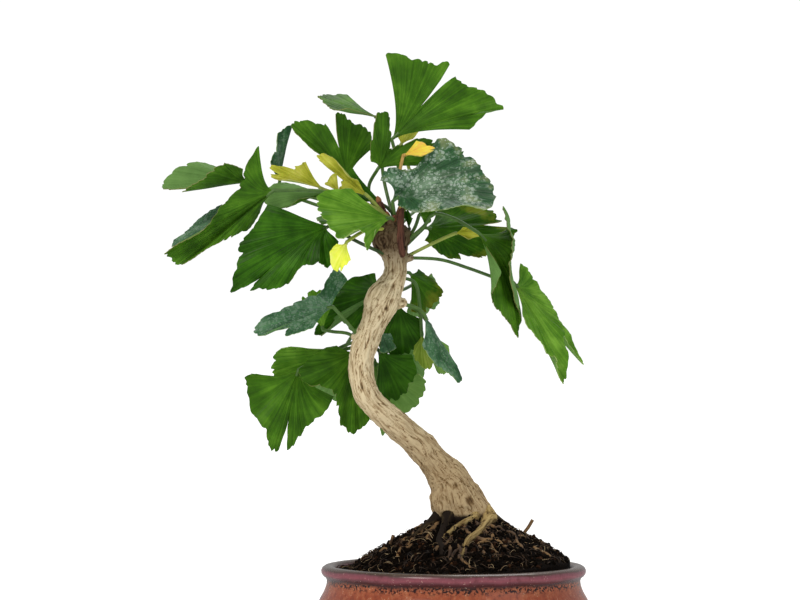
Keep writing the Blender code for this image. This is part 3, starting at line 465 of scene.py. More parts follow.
LEAVES = [
    # The tall leaf at the top
    Leaf("leaf_01", (-30.2, 4.2, 266), [(-31, 9, 290)], (-35, 11, 308),
         [(-38.5, 5, 357), (-25, 11, 355.5), (-13, 14, 352.5), (-1, 15, 352), (3.5, 16, 342.3),
          (17, 14, 336.5), (29.5, 11, 326), (20.5, 9, 324), (10, 8, 313.5)], [(3.35, 0.5)], columns=7),
    # The upright leaf under it
    Leaf("leaf_02", (-36, 0, 256), [(-45.5, 8, 270), (-48, 7.5, 281)], (-43, -3, 290),
         [(-47, -10, 294), (-46.5, -11, 306), (-43, -9, 320), (-37, -5, 322), (-35, -1, 311), (-31, 3, 304.5),
          (-20, 5, 308.5), (-10.5, 5, 306.5), (-11, 4, 300), (-15, 2, 292)], [(4.5, 0.3)]),
    # Edge on, pointing left at the top
    Leaf("leaf_03", (-33, 4, 259), [(-40, 17, 288)], (-41.5, 12, 320),
         [(-60, -2, 325.5), (-67.5, 0, 324.5), (-73, 4, 327), (-77.5, 10, 330), (-77, 16, 333.5),
          (-72.5, 22, 336.5), (-61, 28, 333.5)], columns=6),
    # The cleft leaf on the upper left
    Leaf("leaf_04", (-36, 2, 256), [(-50, 13, 270)], (-60, 8, 284),
         [(-79.5, 0, 301), (-90.5, 0, 313), (-88, 3, 319), (-75, 6, 316.5), (-66.5, 10, 323.5),
          (-58, 12, 318.5), (-47, 15, 313.5), (-46.5, 16, 303)], [(3.5, 0.5)]),
    Leaf("leaf_05", (-31.5, 2, 262), [], (-38, 2, 269),
         [(-58, 6, 290), (-62, 3, 286), (-62, -1, 281), (-57, -3, 276), (-50, -4, 272)], columns=5),
    # The broad leaf in front, speckled with lime
    Leaf("leaf_06", (-33, -3, 262), [], (-34.5, -9, 271.5),
         [(-41, -14, 282.5), (-37.5, -13, 289), (-25, -8, 289.5), (-15, -6, 291.5), (-11, -4, 300),
          (-8, -2, 308.5), (3, -4, 302.5), (9, -9, 297), (17, -16, 289), (23, -24, 276.5), (20, -32, 265.5),
          (6, -38, 268), (-3, -42, 265), (-14, -42, 264), (-24, -34, 265), (-32, -21, 269)], [(12.5, 0.1)],
         ((0, -2, 3), (0, -2, 3)), columns=9),
    # The bright leaf left of the stump
    Leaf("leaf_07", (-33.5, -3, 261), [], (-35, -12, 262),
         [(-58, -19, 277.5), (-74.5, -22, 276), (-76, -28, 268.5), (-72, -34, 260), (-63, -39, 250),
          (-55, -38, 253), (-49, -32, 243), (-44, -24, 254.5)], [(5.3, 0.12)]),
    # The far leaf on the left, folded along its middle
    Leaf("leaf_08", (-34, 4, 249), [(-58, 22, 263), (-86, 30, 274), (-104, 24, 279)], (-115.5, 6, 283),
         [(-119, -4, 291), (-127, -12, 293), (-136, -17, 288), (-144, -18, 281), (-152, -13, 276),
          (-155, -2, 279), (-166.5, 6, 280.5), (-163, 12, 288), (-149, 16, 295), (-132, 18, 291.5)],
         [(4.8, 0.1)]),
    # The long leaf on the left, with an upright flap
    Leaf("leaf_09", (-36, -3, 255), [(-56, -10, 269.5), (-74, -12, 277)], (-101, -13, 277.5),
         [(-110.5, -6, 303), (-117, -14, 290), (-120.5, -20, 279), (-131, -28, 267), (-140, -31, 254.5),
          (-156.5, -29, 245.5), (-162, -24, 240), (-156, -22, 235.5), (-149.5, -24, 236.5), (-140, -24, 243),
          (-129.5, -22, 248.5), (-123, -18, 252), (-115, -12, 256.5), (-109, -9, 266)], [], columns=8),
    Leaf("leaf_10", (-35, 2, 252), [(-57, 11, 264), (-80, 18, 275), (-100, 16, 275)], (-118, 4, 271),
         [(-131, 10, 269.5), (-145, 14, 264), (-155, 12, 255), (-160, 6, 247), (-156, -3, 243)], columns=6),
    # Edge on, standing behind the flap
    Leaf("leaf_11", (-34, 4, 256), [(-58, 24, 271), (-84, 34, 280)], (-99.5, 17, 282),
         [(-105.5, 8, 293.5), (-101, 8, 302), (-97.8, 12, 312), (-94.3, 18, 317), (-96.8, 25, 310),
          (-100, 30, 296)], columns=5),
    Leaf("leaf_12", (-36, 0, 257), [(-54, -3, 266), (-64, -4, 273)], (-72, -3, 276.5),
         [(-88, 12, 281), (-99, 13, 282.5), (-107, 8, 278), (-107, 1, 271), (-102, -3, 267.6), (-96, -4, 267),
          (-89, -4, 271.5), (-79, -3, 273)]),
    # The large dark leaf at the middle left
    Leaf("leaf_13", (-34, -1, 240), [(-53, -13, 248)], (-70, -14, 257.5),
         [(-104, -16, 269.5), (-112.5, -18, 256), (-120, -20, 247), (-121.5, -21, 236), (-125, -24, 219.5),
          (-114, -26, 221), (-103, -28, 222), (-93, -29, 224.5), (-86, -29, 233), (-76, -27, 235.5),
          (-70, -25, 234), (-65, -19, 249)], [(4.5, 0.22)], ((0, -3, 2), (0, -3, 2)), columns=8),
    # The dark leaf at the middle right
    Leaf("leaf_14", (-31, 3, 243), [(-23, 8, 251)], (-16.5, 10, 257.5),
         [(-9, 22, 269), (6.5, 26, 271), (22, 26, 268), (28, 24, 262), (36, 22, 257), (33, 20, 250),
          (21, 16, 242), (13, 14, 240.5), (4, 12, 240), (-6.5, 10, 243), (-16.5, 9, 250.5)],
         [(3.5, 0.32), (7.5, 0.12)], columns=8),
    # The drooping leaf on the right, curled over at its far edge
    Leaf("leaf_15", (-26, -1, 250), [(-17, -4, 257.5), (-11, -7, 264.5), (1, -9, 261.5)], (14, -12, 253.5),
         [(26, -20, 231), (22.3, -25, 222.5), (21.7, -27, 214), (27, -27, 207.5), (31.5, -24, 203.5),
          (36, -17, 195), (38, -10, 206), (33, -17, 216), (31, -18, 233), (33, -14, 247), (29.5, -6, 260),
          (28.5, 0, 269.5)], [], ((0, 0, 0), (10, 12, 0)), columns=8),
    # The outermost leaf on the right
    Leaf("leaf_16", (-26, 1.5, 240), [(-7.5, 2, 239), (9, 2, 234), (25.5, 0, 228)], (34, -1, 226),
         [(39, -16, 206.5), (43.5, -17, 197), (51, -17, 187.5), (57, -14, 181), (59, -12, 172.5),
          (62.5, -8, 168), (65, -1, 187), (64, 6, 197), (76.5, 18, 178.8), (69, 18, 194), (60, 18, 208),
          (52, 16, 219), (43, 11, 231), (37, 9, 236)], [(7.5, 0.1)], columns=8),
    # Behind the trunk, from the top down
    Leaf("leaf_17", (-33, 7, 232), [], (-25, 17, 232),
         [(-19, 26, 234), (-11, 30, 228), (-6.5, 30, 221), (-11.5, 28, 214), (-15, 26, 209.5),
          (-24, 24, 210)]),
    Leaf("leaf_18", (-38, 2, 214), [], (-31, 15, 214),
         [(-19.5, 20, 206), (-17, 22, 196), (-22, 23, 187), (-32, 24, 184), (-41, 23, 187), (-46, 20, 195)]),
    Leaf("leaf_19", (-50, 4, 188.5), [], (-43, 15, 188),
         [(-24, 18, 185), (-21, 20, 176), (-24, 21, 168), (-30, 22, 160), (-38, 22, 157), (-46, 20, 160)]),
    Leaf("leaf_20", (-49, 3, 184), [(-51, 20, 184)], (-45, 30, 182),
         [(-68, 32, 161), (-62, 34, 153), (-52, 36, 148.5), (-43.5, 38, 145), (-40, 38, 138),
          (-34.5, 38, 144), (-22.5, 36, 153), (-17.5, 34, 160), (-15.5, 32, 169), (-20, 31, 174)], columns=8),
    Leaf("leaf_21", (-46, 0, 202), [], (-41, 10, 198),
         [(-36, 11, 197), (-33, 12, 190), (-36, 12, 186), (-42, 11, 187)], columns=4),
    # The dark hanging leaf right of the trunk
    Leaf("leaf_22", (-32, 1.5, 215), [(-21, 2, 211.5)], (-16.5, 1, 208),
         [(-18, -6, 190), (-13, -8, 182), (-5, -6, 176), (0, -3, 172), (3, 0, 168), (3, 4, 174),
          (-3.5, 8, 187), (-11, 8, 202)]),
    Leaf("leaf_23", (-33, 2, 229), [(-22, 7, 226), (-19, 9, 212)], (-18, 11, 197),
         [(-13, 13, 190), (-11.5, 14, 182), (-14, 13, 176), (-19, 12, 179.5), (-22.5, 12, 184),
          (-22, 12, 190)], columns=5),
    Leaf("leaf_24", (-32, 1.5, 215), [(-20, 13, 210)], (-11, 16, 198),
         [(-14, 20, 184), (-9, 21, 174.5), (-4, 20, 174), (-1, 18, 177), (-3, 16, 190)], columns=5),
    # The blue-green leaf at the lower left
    Leaf("leaf_25", (-53, -2, 194.5), [(-61, -8, 204)], (-68, -12, 212),
         [(-60, -10, 227), (-66.5, -8, 234), (-72, -10, 226), (-82, -14, 217.5), (-96, -18, 211),
          (-108.5, -22, 204.5), (-112.5, -24, 198), (-108, -26, 195), (-103, -27, 198), (-95, -28, 195.5),
          (-87, -27, 197.5), (-79, -24, 200)], [(2.5, 0.2), (8.5, 0.2)], columns=8),
    Leaf("leaf_26", (-53, -2, 193), [(-60, 1, 197), (-68, 4, 198)], (-74, 6, 199),
         [(-84, 8, 208), (-86.5, 10, 217.5), (-81, 10, 221), (-74, 9, 221.5), (-67, 8, 217)], columns=5),
    Leaf("leaf_27", (-37, 3, 222), [], (-38, 14, 223),
         [(-44.5, 22, 231.5), (-59, 22, 228.5), (-66, 18, 221), (-73, 16, 211), (-79.5, 15, 199.5),
          (-76, 15, 195), (-70, 14, 201), (-66, 14, 208), (-61, 15, 203), (-57.5, 15, 199), (-53, 16, 203.5),
          (-47, 17, 206)], [(7, 0.1)], columns=9),
    # The yellow-green leaf below it
    Leaf("leaf_28", (-49, 3, 193), [(-50, 14, 194)], (-58, 21, 189),
         [(-93, 20, 189.5), (-100, 22, 188), (-104, 24, 181), (-103, 26, 173), (-92, 26, 168),
          (-80, 26, 166)]),
    # The lowest leaf on the left, split in two
    Leaf("leaf_29", (-52, 0, 192), [(-60, 13, 191), (-76, 14, 183)], (-88, 8, 176.5),
         [(-103, 6, 172.5), (-115.5, 4, 174), (-118, 2, 170), (-115, 0, 153.5), (-107, -2, 142),
          (-104, -2, 131.5), (-99.5, -2, 130), (-94.5, 0, 130.5), (-88, 2, 136.5), (-84, 4, 143.5),
          (-75, 6, 150.5), (-68, 8, 161)], [(6.5, 0.4)], columns=8),
    # The broad leaf that hangs behind the trunk's bend
    Leaf("leaf_30", (-50, 3, 189), [], (-54, 9, 188.5),
         [(-66, 8, 190), (-75, 6, 187.5), (-88.5, -2, 175.5), (-82, -3, 168), (-70, -2, 165.5),
          (-65.5, 0, 156), (-64, 2, 145), (-59, 5, 140), (-54, 8, 142), (-48, 10, 148)], columns=8),
    Leaf("leaf_31", (-31, 2, 250), [], (-25, 2, 256),
         [(-28, 3, 264), (-26.5, 2, 268), (-25, 1, 268), (-23.5, 0, 262)], columns=4),
    Leaf("leaf_32", (-30, 3, 246), [(-22.5, 1, 256)], (-19.5, 0, 264),
         [(-24, 0, 280), (-14, 1, 282), (-7, 2, 274), (-11, 1, 264), (-16, 0, 257.5)], columns=5),
    # The back of the crown
    Leaf("leaf_33", (-31, 4, 258), [(-21, 24, 268)], (-12, 38, 272),
         [(-20, 60, 293), (0, 68, 289), (13, 66, 279), (19, 54, 268), (11, 44, 262)], columns=6),
    Leaf("leaf_34", (-33, 4, 252), [(-42, 28, 256)], (-56, 42, 263),
         [(-76, 46, 260), (-79, 62, 265), (-66, 76, 269), (-50, 74, 268), (-40, 60, 266)], columns=6),
    Leaf("leaf_35", (-34, 2, 230), [(-38, 26, 228)], (-46, 42, 224),
         [(-68, 54, 222), (-70, 64, 212), (-58, 70, 200), (-44, 70, 198), (-33, 62, 206), (-30, 54, 220)],
         columns=6),
    Leaf("leaf_36", (-36, 2, 224), [(-30, 24, 222)], (-22, 37, 226),
         [(-12, 40, 231), (-8, 54, 224), (-9, 64, 213), (-18, 66, 207), (-27, 58, 211)], columns=6),
    Leaf("leaf_37", (-50, 2, 197), [(-56, 26, 198)], (-64, 40, 186),
         [(-84, 42, 184), (-92, 54, 178), (-88, 64, 166), (-76, 68, 158), (-62, 64, 158)], columns=6),
    Leaf("leaf_38", (-42, 2, 210), [(-42, 28, 214)], (-32, 40, 192),
         [(-18, 42, 192), (-14, 54, 182), (-18, 64, 170), (-30, 68, 160), (-46, 64, 160)], columns=6),
    # Young leaves
    Leaf("young_leaf_1", (-37, -4, 256), [(-49, -18, 255)], (-60, -29, 248),
         [(-58, -31, 238), (-62, -34, 233), (-66, -34, 231.5), (-70.5, -32, 240), (-65, -30, 247)], columns=4,
         young=True),
    Leaf("young_leaf_2", (-26, 1.5, 241), [(-10, 0, 249)], (1, -1, 253.8),
         [(5, -3, 257), (11, -4, 255.5), (14.5, -4, 252), (8, -3, 250.5)], columns=4, young=True),
    Leaf("young_leaf_3", (-36, -1, 259), [(-46, -6, 265.5), (-60, -7, 273.5)], (-73.5, -6, 278.5),
         [(-83.5, -6, 294), (-90, -8, 291), (-103.5, -10, 291.5), (-102, -12, 285.5), (-92.5, -12, 283)],
         [(2.5, 0.2)], columns=5, young=True),
    Leaf("young_leaf_4", (-36.5, -2, 262), [], (-48, -9, 274),
         [(-64.5, -8, 278), (-64, -9, 284), (-77.5, -8, 296.5), (-69, -10, 297), (-59, -11, 286),
          (-54, -12, 283)], columns=5, young=True),
    Leaf("young_leaf_5", (-35, -3, 262), [(-50, -13.5, 270.5)], (-64.5, -13, 277),
         [(-66, -12, 287), (-71, -13, 284), (-72, -13, 281), (-68, -14, 278)], columns=4, young=True),
    Leaf("young_leaf_6", (-29, 4, 263), [(-24, 13, 285)], (-30, 17, 305),
         [(-32, 18, 310), (-29, 20, 316), (-22, 21, 318), (-19, 20, 315), (-23, 19, 309)], columns=4,
         young=True),
    Leaf("young_leaf_7", (-30, 4, 266), [(-31, -1, 284)], (-28.5, -2, 298),
         [(-21, -8, 305.5), (-15, -10, 304), (-10.5, -12, 300.5), (-15.5, -13, 297), (-22, -11, 297.5)],
         columns=4, young=True),
]


# Leaf finishes: the dark, middle and light green of the upper face, the colour of its thin margin, its
# roughness, how much of it a white bloom covers, and how far autumn has come in from the margin
LEAF_FINISHES = {
    "mature": ("2C5010", "3E6A14", "5A8A22", "6A6A30", 0.42, 0.0, 0.0),
    # Darker green: partly the leaves' own tone and partly painted shade, for leaves that sit in shade.
    "deep": ("1C3E08", "2C580C", "447818", "5E7034", 0.38, 0.0, 0.0),
    # Lighter green: partly the leaves' own tone and partly painted light, for leaves that light shines
    # through.
    "bright": ("3E6E16", "5A8A24", "7EAE3C", "A8D068", 0.42, 0.0, 0.0),
    "turning": ("224A08", "345E0C", "4E801A", "8A7638", 0.42, 0.0, 0.6),
    "olive": ("5A7420", "7C9636", "9EB050", "B9C455", 0.45, 0.0, 0.0),
    "bloomed": ("20462A", "32603A", "4E8052", "8CB480", 0.42, 0.22, 0.0),
    "speckled": ("1C4224", "2C5A32", "467A48", "94BC74", 0.36, 0.62, 0.5),
    "young": ("8E9420", "AEB038", "C8C85C", "D0C860", 0.45, 0.0, 0.0),
    # Young leaf 1: its own lemon yellow, pushed towards white as painted light that stands in for light
    # shining through the thin leaf.
    "lemon_lit_through": ("DCEC40", "F2FC58", "FAFF90", "E4F060", 0.45, 0.0, 0.0),
    "peach": ("F0A070", "F2DC50", "F6EE80", "E8D060", 0.45, 0.0, 0.0),
}


def leaf_pattern(add):
    """The veins, the streaks along them, and the share of the way out from the petiole.

    The leaf's own map runs along the margin and outwards, so veins and streaks fan out. Real veins
    are 0.5 mm apart: these are drawn wider, so that they show.
    """
    split = add("SeparateXYZ", add("UVMap", uv_map="blade"), out=None)
    along, out = add("Math", split.outputs[0], MAP_LENGTH, operation="MULTIPLY"), split.outputs[1]
    turn = add("Math", along, 2 * math.pi / VEIN_SPACING, operation="MULTIPLY")
    wave = add("MapRange", add("Math", turn, operation="SINE"), -1.0, 1.0)
    run = add("CombineXYZ", add("Math", along, STREAK_WIDTH, operation="DIVIDE"), out)
    streaks = add("TexNoise", {"Vector": run, "Scale": 1.0, "Detail": 3.0})
    return add("Math", wave, 4.0, operation="POWER"), streaks, out


def leaf_upper(name, dark, middle, light, gloss, bloom, autumn):
    """Living ginkgo leaf, upper face: satin cuticle over fanned veins, with cloudy greens.

    A glaucous leaf has a waxy white bloom in spots and a film, and an old one yellows from outside.
    """
    mat, add, place = new_material(f"ginkgo leaf upper face, {name}")
    veins, streaks, out = leaf_pattern(add)
    clouds = add("TexNoise", {"Vector": place, "Scale": 1 / (11.0 * MM), "Detail": 3.0})
    tone = weighed(add, (clouds, 0.55), (streaks, 0.45))
    skin = add("ValToRGB", tone, stops=((0.36, dark), (0.5, middle), (0.66, light)))
    skin = laid(add, skin, veins, 0.08, light)
    skin = laid(add, skin, add("MapRange", out, 0.28, 0.03), 0.45, light)
    if autumn:
        patch = add("MapRange", add("Math", out, clouds, operation="MULTIPLY"), 0.42, 0.56)
        skin = laid(add, skin, patch, 0.7 * autumn, "98902C")
    if bloom:
        large = add("TexVoronoi", {"Vector": place, "Scale": 1 / (2.6 * MM)})
        small = add("TexVoronoi", {"Vector": place, "Scale": 1 / (1.4 * MM)})
        spots = add("Math", add("MapRange", large, 0.44, 0.34), add("MapRange", small, 0.38, 0.3),
                    operation="MAXIMUM")
        spots = add("Math", spots, add("MapRange", clouds, 0.4, 0.54), operation="MULTIPLY")
        film = add("Math", add("MapRange", clouds, 0.45, 0.7), 0.4, operation="MULTIPLY")
        skin = laid(add, skin, add("Math", spots, film, operation="MAXIMUM"), 0.85 * bloom, "C4D4C8")
    fine = add("TexNoise", {"Vector": place, "Scale": 1 / (2.5 * MM)})
    finish_material(add, {"Base Color": skin, "Roughness": weighed(add, (clouds, 0.3), (1.0, gloss - 0.15)),
                          "Specular IOR Level": 0.3 if bloom else 0.08, "Subsurface Weight": 0.08,
                          "Subsurface Scale": 1.2 * MM, "Subsurface Radius": (0.4, 1.0, 0.15)},
                    weighed(add, (fine, 0.8), (veins, 1.0)), 0.12, 0.55)
    return mat


def leaf_under(name, middle, light):
    """Living ginkgo leaf, underside: matt and paler, with the veins standing out."""
    mat, add, place = new_material(f"ginkgo leaf underside, {name}")
    veins, streaks, out = leaf_pattern(add)
    clouds = add("TexNoise", {"Vector": place, "Scale": 1 / (9.0 * MM), "Detail": 3.0})
    tone = add("MapRange", weighed(add, (clouds, 0.5), (streaks, 0.5)), 0.35, 0.65)
    dull = Vector(colour(middle)).lerp(Vector(colour("6A9054")), 0.45)
    pale = Vector(colour(light)).lerp(Vector(colour("7EA468")), 0.5)
    skin = add("Mix", {0: tone, 6: dull, 7: pale}, out=2, data_type="RGBA")
    skin = laid(add, skin, veins, 0.15, middle)
    finish_material(add, {"Base Color": skin, "Roughness": 0.6, "Specular IOR Level": 0.15}, veins, 0.15, 0.5)
    return mat


def bark_material():
    """Corky ginkgo bark: tan ridges over dark fissures, grey at the stump, golden at the foot, where painted
    shade also darkens it; the palest ridge tops are partly painted highlight.

    The shoots are smooth and red-brown, the roots yellow-brown, and all of it is crusted near the soil.
    The pattern follows the wood's own grain, drawn out along each limb.
    """
    mat, add, place = new_material("corky ginkgo bark")
    grain = add("Attribute", attribute_name="grain", out="Vector")
    fissure, shoot, root, earth = (add("Attribute", attribute_name=kept, out="Fac")
                                   for kept in ("fissure", "shoot", "root", "earth"))
    drawn = add("Mapping", {"Vector": grain, "Scale": (1.0, 1.0, 0.13)})
    ridges = add("TexNoise", {"Vector": drawn, "Scale": 1 / (1.2 * MM), "Detail": 5.0, "Roughness": 0.62})
    plates = add("TexNoise", {"Vector": drawn, "Scale": 1 / (5.5 * MM), "Detail": 3.0})
    tone = weighed(add, (ridges, 0.6), (plates, 0.2), (fissure, 0.2))
    # The palest stop, on the ridge tops, is partly pale cork and partly painted highlight.
    skin = add("ValToRGB", tone, stops=((0.32, "3A2C1C"), (0.42, "7C6646"), (0.51, "AE9874"),
                                        (0.64, "DECEAA")))
    height = add("SeparateXYZ", place, out=2)
    # Darker and greyer at the stump, and golden and darker at the foot: the foot's darkening is painted shade
    # of the lower trunk.
    for low, high, strength, tint in ((0.226, 0.246, 0.9, "5C4A3A"), (0.165, 0.12, 0.55, "9E8050")):
        skin = laid(add, skin, add("MapRange", height, low, high), strength, tint, blend_type="MULTIPLY")
    twig = add("ValToRGB", ridges, stops=((0.35, "2C1A14"), (0.6, "6A4436")))
    bare = add("ValToRGB", tone, stops=((0.34, "3A2A18"), (0.48, "7A6238"), (0.64, "B8A06A")))
    for share, other in ((shoot, twig), (root, bare)):
        skin = add("Mix", {0: share, 6: skin, 7: other}, out=2, data_type="RGBA")
    crust = add("Math", earth, add("MapRange", plates, 0.25, 0.6), earth, operation="MULTIPLY_ADD")
    skin = laid(add, skin, crust, 1.0, "1C130C")
    finish_material(add, {"Base Color": skin, "Roughness": 0.88, "Specular IOR Level": 0.2}, ridges, 0.7, 0.8)
    return mat


def soil_material(name, dark, middle, light):
    """Damp peat and composted bark: matt and nearly black, with brown crumbs of 1 to 2 mm."""
    mat, add, place = new_material(name)
    crumbs = add("TexNoise", {"Vector": place, "Scale": 1 / (1.6 * MM), "Detail": 4.0, "Roughness": 0.65})
    patches = add("TexNoise", {"Vector": place, "Scale": 1 / (9.0 * MM)})
    tone = weighed(add, (crumbs, 0.75), (patches, 0.25))
    skin = add("ValToRGB", tone, stops=((0.40, dark), (0.56, middle), (0.72, light)))
    finish_material(add, {"Base Color": skin, "Roughness": 0.93, "Specular IOR Level": 0.06}, crumbs, 0.8,
                    0.9)
    return mat


def fibre_material(name, dark, light):
    """Dry root, bud or bark fibre, matt and streaky, paler than the damp soil."""
    return two_tone(name, dark, light, 6.0, 0.8, 0.8, 0.1, 0.5, detail=4.0, spread=(0.38, 0.62))


def glaze_material():
    """Copper-red reduction glaze on stoneware, dipped and fired: mauve on the lip, brown on its edge.

    It breaks into golden mottle, and has a pitted dark band under the lip and pale specks that are painted
    highlights, standing in for the glaze's white glints. The real glints are under 1 mm: these are drawn 1.3
    mm apart, so that they show.
    """
    mat, add, place = new_material("copper red glaze")
    height = add("Math", add("SeparateXYZ", place, out=2), POT_HEIGHT * MM, operation="DIVIDE")
    drift = add("TexNoise", {"Vector": place, "Scale": 1 / (14.0 * MM), "Detail": 3.0})
    level = weighed(add, (drift, 0.04), (height, 1.0), (1.0, -0.02))
    skin = add("ValToRGB", level, stops=((0.05, "5A281A"), (0.45, "8A4028"), (0.78, "96482E"),
                                         (0.862, "A05638"), (0.895, "3E2426"), (0.915, "5A3036"),
                                         (0.94, "8A4A54"), (0.965, "7C4650"), (0.98, "4E3834"),
                                         (0.995, "5C4E46")))
    runs = add("Mapping", {"Vector": place, "Scale": (1.0, 1.0, 0.75)})
    mottle = add("TexNoise", {"Vector": runs, "Scale": 1 / (3.2 * MM), "Detail": 5.0, "Roughness": 0.65})
    grit = add("TexNoise", {"Vector": place, "Scale": 1 / (1.5 * MM), "Detail": 2.0, "Roughness": 0.6})
    glint_cells = add("TexVoronoi", {"Vector": place, "Scale": 1 / (1.3 * MM)})
    below, band_top, band_foot = (add("MapRange", level, *span)
                                  for span in ((0.89, 0.87), (0.9, 0.88), (0.815, 0.85)))
    gold = add("Math", add("MapRange", mottle, 0.5, 0.68), below, operation="MULTIPLY")
    skin = laid(add, skin, gold, 0.45, "C08058")
    skin = laid(add, skin, add("MapRange", mottle, 0.46, 0.3), 0.55, "4A201C")
    band = add("Math", add("Math", band_foot, band_top, operation="MULTIPLY"), 0.06, operation="ADD")
    skin = laid(add, skin, add("Math", add("MapRange", grit, 0.5, 0.56), band, operation="MULTIPLY"), 1.0,
                "2A1414")
    # Pale specks where the mottle is light: painted highlights that stand in for the glaze's white glints.
    bright = add("Math", add("MapRange", glint_cells, 0.2, 0.1), add("MapRange", mottle, 0.48, 0.6),
                 operation="MULTIPLY")
    skin = laid(add, skin, bright, 0.7, "F0D0B8")
    finish_material(add, {"Base Color": skin, "Roughness": weighed(add, (mottle, 0.35), (1.0, 0.05)),
                          "Specular IOR Level": 0.3, "Coat Weight": 0.15, "Coat Roughness": 0.12},
                    weighed(add, (grit, 0.4), (mottle, 1.0)), 0.25, 0.45)
    return mat


def paper_material():
    """White studio paper, which glows with distance so that the floor has no horizon."""
    mat, add, place = new_material("white studio paper")
    skin = laid(add, colour("FAFAFA"), add("TexNoise", {"Vector": place, "Scale": 1 / (400.0 * MM)}), 1.0,
                "FFFFFF")
    glow = add("MapRange", add("VectorMath", place, operation="LENGTH", out="Value"), 0.8, 2.6, 0.35, 0.8)
    finish_material(add, {"Base Color": skin, "Roughness": 0.9, "Emission Color": (1, 1, 1, 1),
                          "Emission Strength": glow})
    return mat


def pot_wall(inset):
    """Radius and height down the pot's wall from neck to foot, moved inwards by inset."""
    wall = [(NECK_RADIUS, 58.5), (NECK_RADIUS, 55.5), (73.5, 51.0), (76.2, 46.0), (BELLY_RADIUS, 40.0),
            (77.0, 32.0), (74.0, 23.0), (67.5, 14.0), (58.0, 6.5)]
    return [(radius - inset, height) for radius, height in wall]


def pot_profile():
    """Radius and height from the middle of the floor over the lip to the middle of the base."""
    mouth = LIP_RADIUS - LIP_WIDTH
    inside = [(0.01, FLOOR), (FOOT_RADIUS - 3, FLOOR), (56, 9.5)] + pot_wall(WALL)[-2::-1]
    lip = [(mouth, POT_HEIGHT - 1.8), (mouth + 1.0, POT_HEIGHT - 0.4), (mouth + 2.8, POT_HEIGHT),
           (LIP_RADIUS - 2.4, POT_HEIGHT - 0.2), (LIP_RADIUS - 0.6, POT_HEIGHT - 1.4),
           (LIP_RADIUS, POT_HEIGHT - 3.2), (LIP_RADIUS - 0.6, POT_HEIGHT - 5.2),
           (LIP_RADIUS - 2.0, POT_HEIGHT - 6.4)]
    outside = pot_wall(0) + [(FOOT_RADIUS + 2, 1.6), (FOOT_RADIUS, 0), (0.01, 0)]
    return inside + lip + outside


def turning_tree():
    """Turns a profile round Z, and drills drain holes on a ring."""
    tree, add, given = new_tree("turned pot", Steps=("Int", POT_STEPS), Profile_Steps=("Int", PROFILE_STEPS),
                                Drains=("Int", DRAINS), Drain_Radius=("Float", DRAIN_RADIUS * MM),
                                Drain_Ring=("Float", DRAIN_RING * MM))
    profile = add("MeshToCurve", {0: given["Geometry"]})
    sheet = add("MeshGrid", {"Size X": 1.0, "Size Y": 1.0, "Vertices X": given["Steps"],
                             "Vertices Y": given["Profile Steps"]})
    split = add("SeparateXYZ", {0: add("InputPosition")}, out=None)
    turn = add("Math", add("Math", split.outputs[0], 0.5, operation="ADD"), 2 * math.pi, operation="MULTIPLY")
    down = add("Math", split.outputs[1], 0.5, operation="ADD")
    sample = add("SampleCurve", {"Curves": profile, "Factor": down}, mode="FACTOR", out=None)
    point = add("SeparateXYZ", {0: sample.outputs["Position"]}, out=None)
    x, y = (add("Math", point.outputs[0], add("Math", turn, operation=way), operation="MULTIPLY")
            for way in ("COSINE", "SINE"))
    place = add("CombineXYZ", x, y, point.outputs[2])
    pot = add("SetPosition", {"Geometry": sheet, "Position": place})
    pot = add("MergeByDistance", {"Geometry": pot, "Distance": 0.05 * MM})
    drill = add("MeshCylinder", {"Vertices": 48, "Radius": given["Drain Radius"], "Depth": 4 * FLOOR * MM})
    ring = add("MeshCircle", {"Vertices": given["Drains"], "Radius": given["Drain Ring"]}, out=None)
    ring = add("Transform", {"Geometry": ring.outputs[0], "Rotation": (0.0, 0.0, math.pi / 2)})
    holes = add("InstanceOnPoints", {"Points": ring, "Instance": drill})
    holes = add("RealizeInstances", {0: holes})
    pot = add("MeshBoolean", {"Mesh 1": pot, "Mesh 2": holes}, operation="DIFFERENCE", solver="EXACT")
    finish_tree(add, pot)
    return tree


def make_pot(glaze, clay):
    """The turned pot, glazed but for its foot, its drain holes and its inner wall."""
    profile = pot_profile()
    bm = bmesh.new()
    row = [bm.verts.new((radius * MM, 0.0, height * MM)) for radius, height in path_through(profile, 4)]
    for upper, lower in zip(row, row[1:]):
        bm.edges.new((upper, lower))
    pot = grown("pot_body", mesh_from(bm, "pot_profile"), turning_tree())
    bm = bmesh.new()
    bm.from_mesh(pot.data)
    bmesh.ops.recalc_face_normals(bm, faces=bm.faces)
    for face in bm.faces:
        middle = face.calc_center_median() / MM
        reach = math.hypot(middle.x, middle.y)
        inner = reach < LIP_RADIUS - LIP_WIDTH + 0.6 and face.normal.dot(middle) < 0.2 * reach
        bare = middle.z < GLAZE_STOP or inner or reach < FOOT_RADIUS - 2
        face.material_index = 1 if bare else 0
        face.smooth = True
    bm.to_mesh(pot.data)
    bm.free()
    pot.data.materials.clear()
    pot.data.materials.append(glaze)
    pot.data.materials.append(clay)
    pot.data.set_sharp_from_angle(angle=math.radians(50))
    on_root(pot, "glaze", "pot")


def heap_height(x, y):
    """Height of the smooth heap of soil round the trunk, which runs down to the pot's brim."""
    reach = math.hypot(x - MOUND_CENTRE[0], y - MOUND_CENTRE[1])
    slope = between(reach, MOUND_FLAT, SOIL_EDGE)
    return SOIL_BRIM + (MOUND - SOIL_BRIM) * (1 - slope) ** MOUND_BULGE


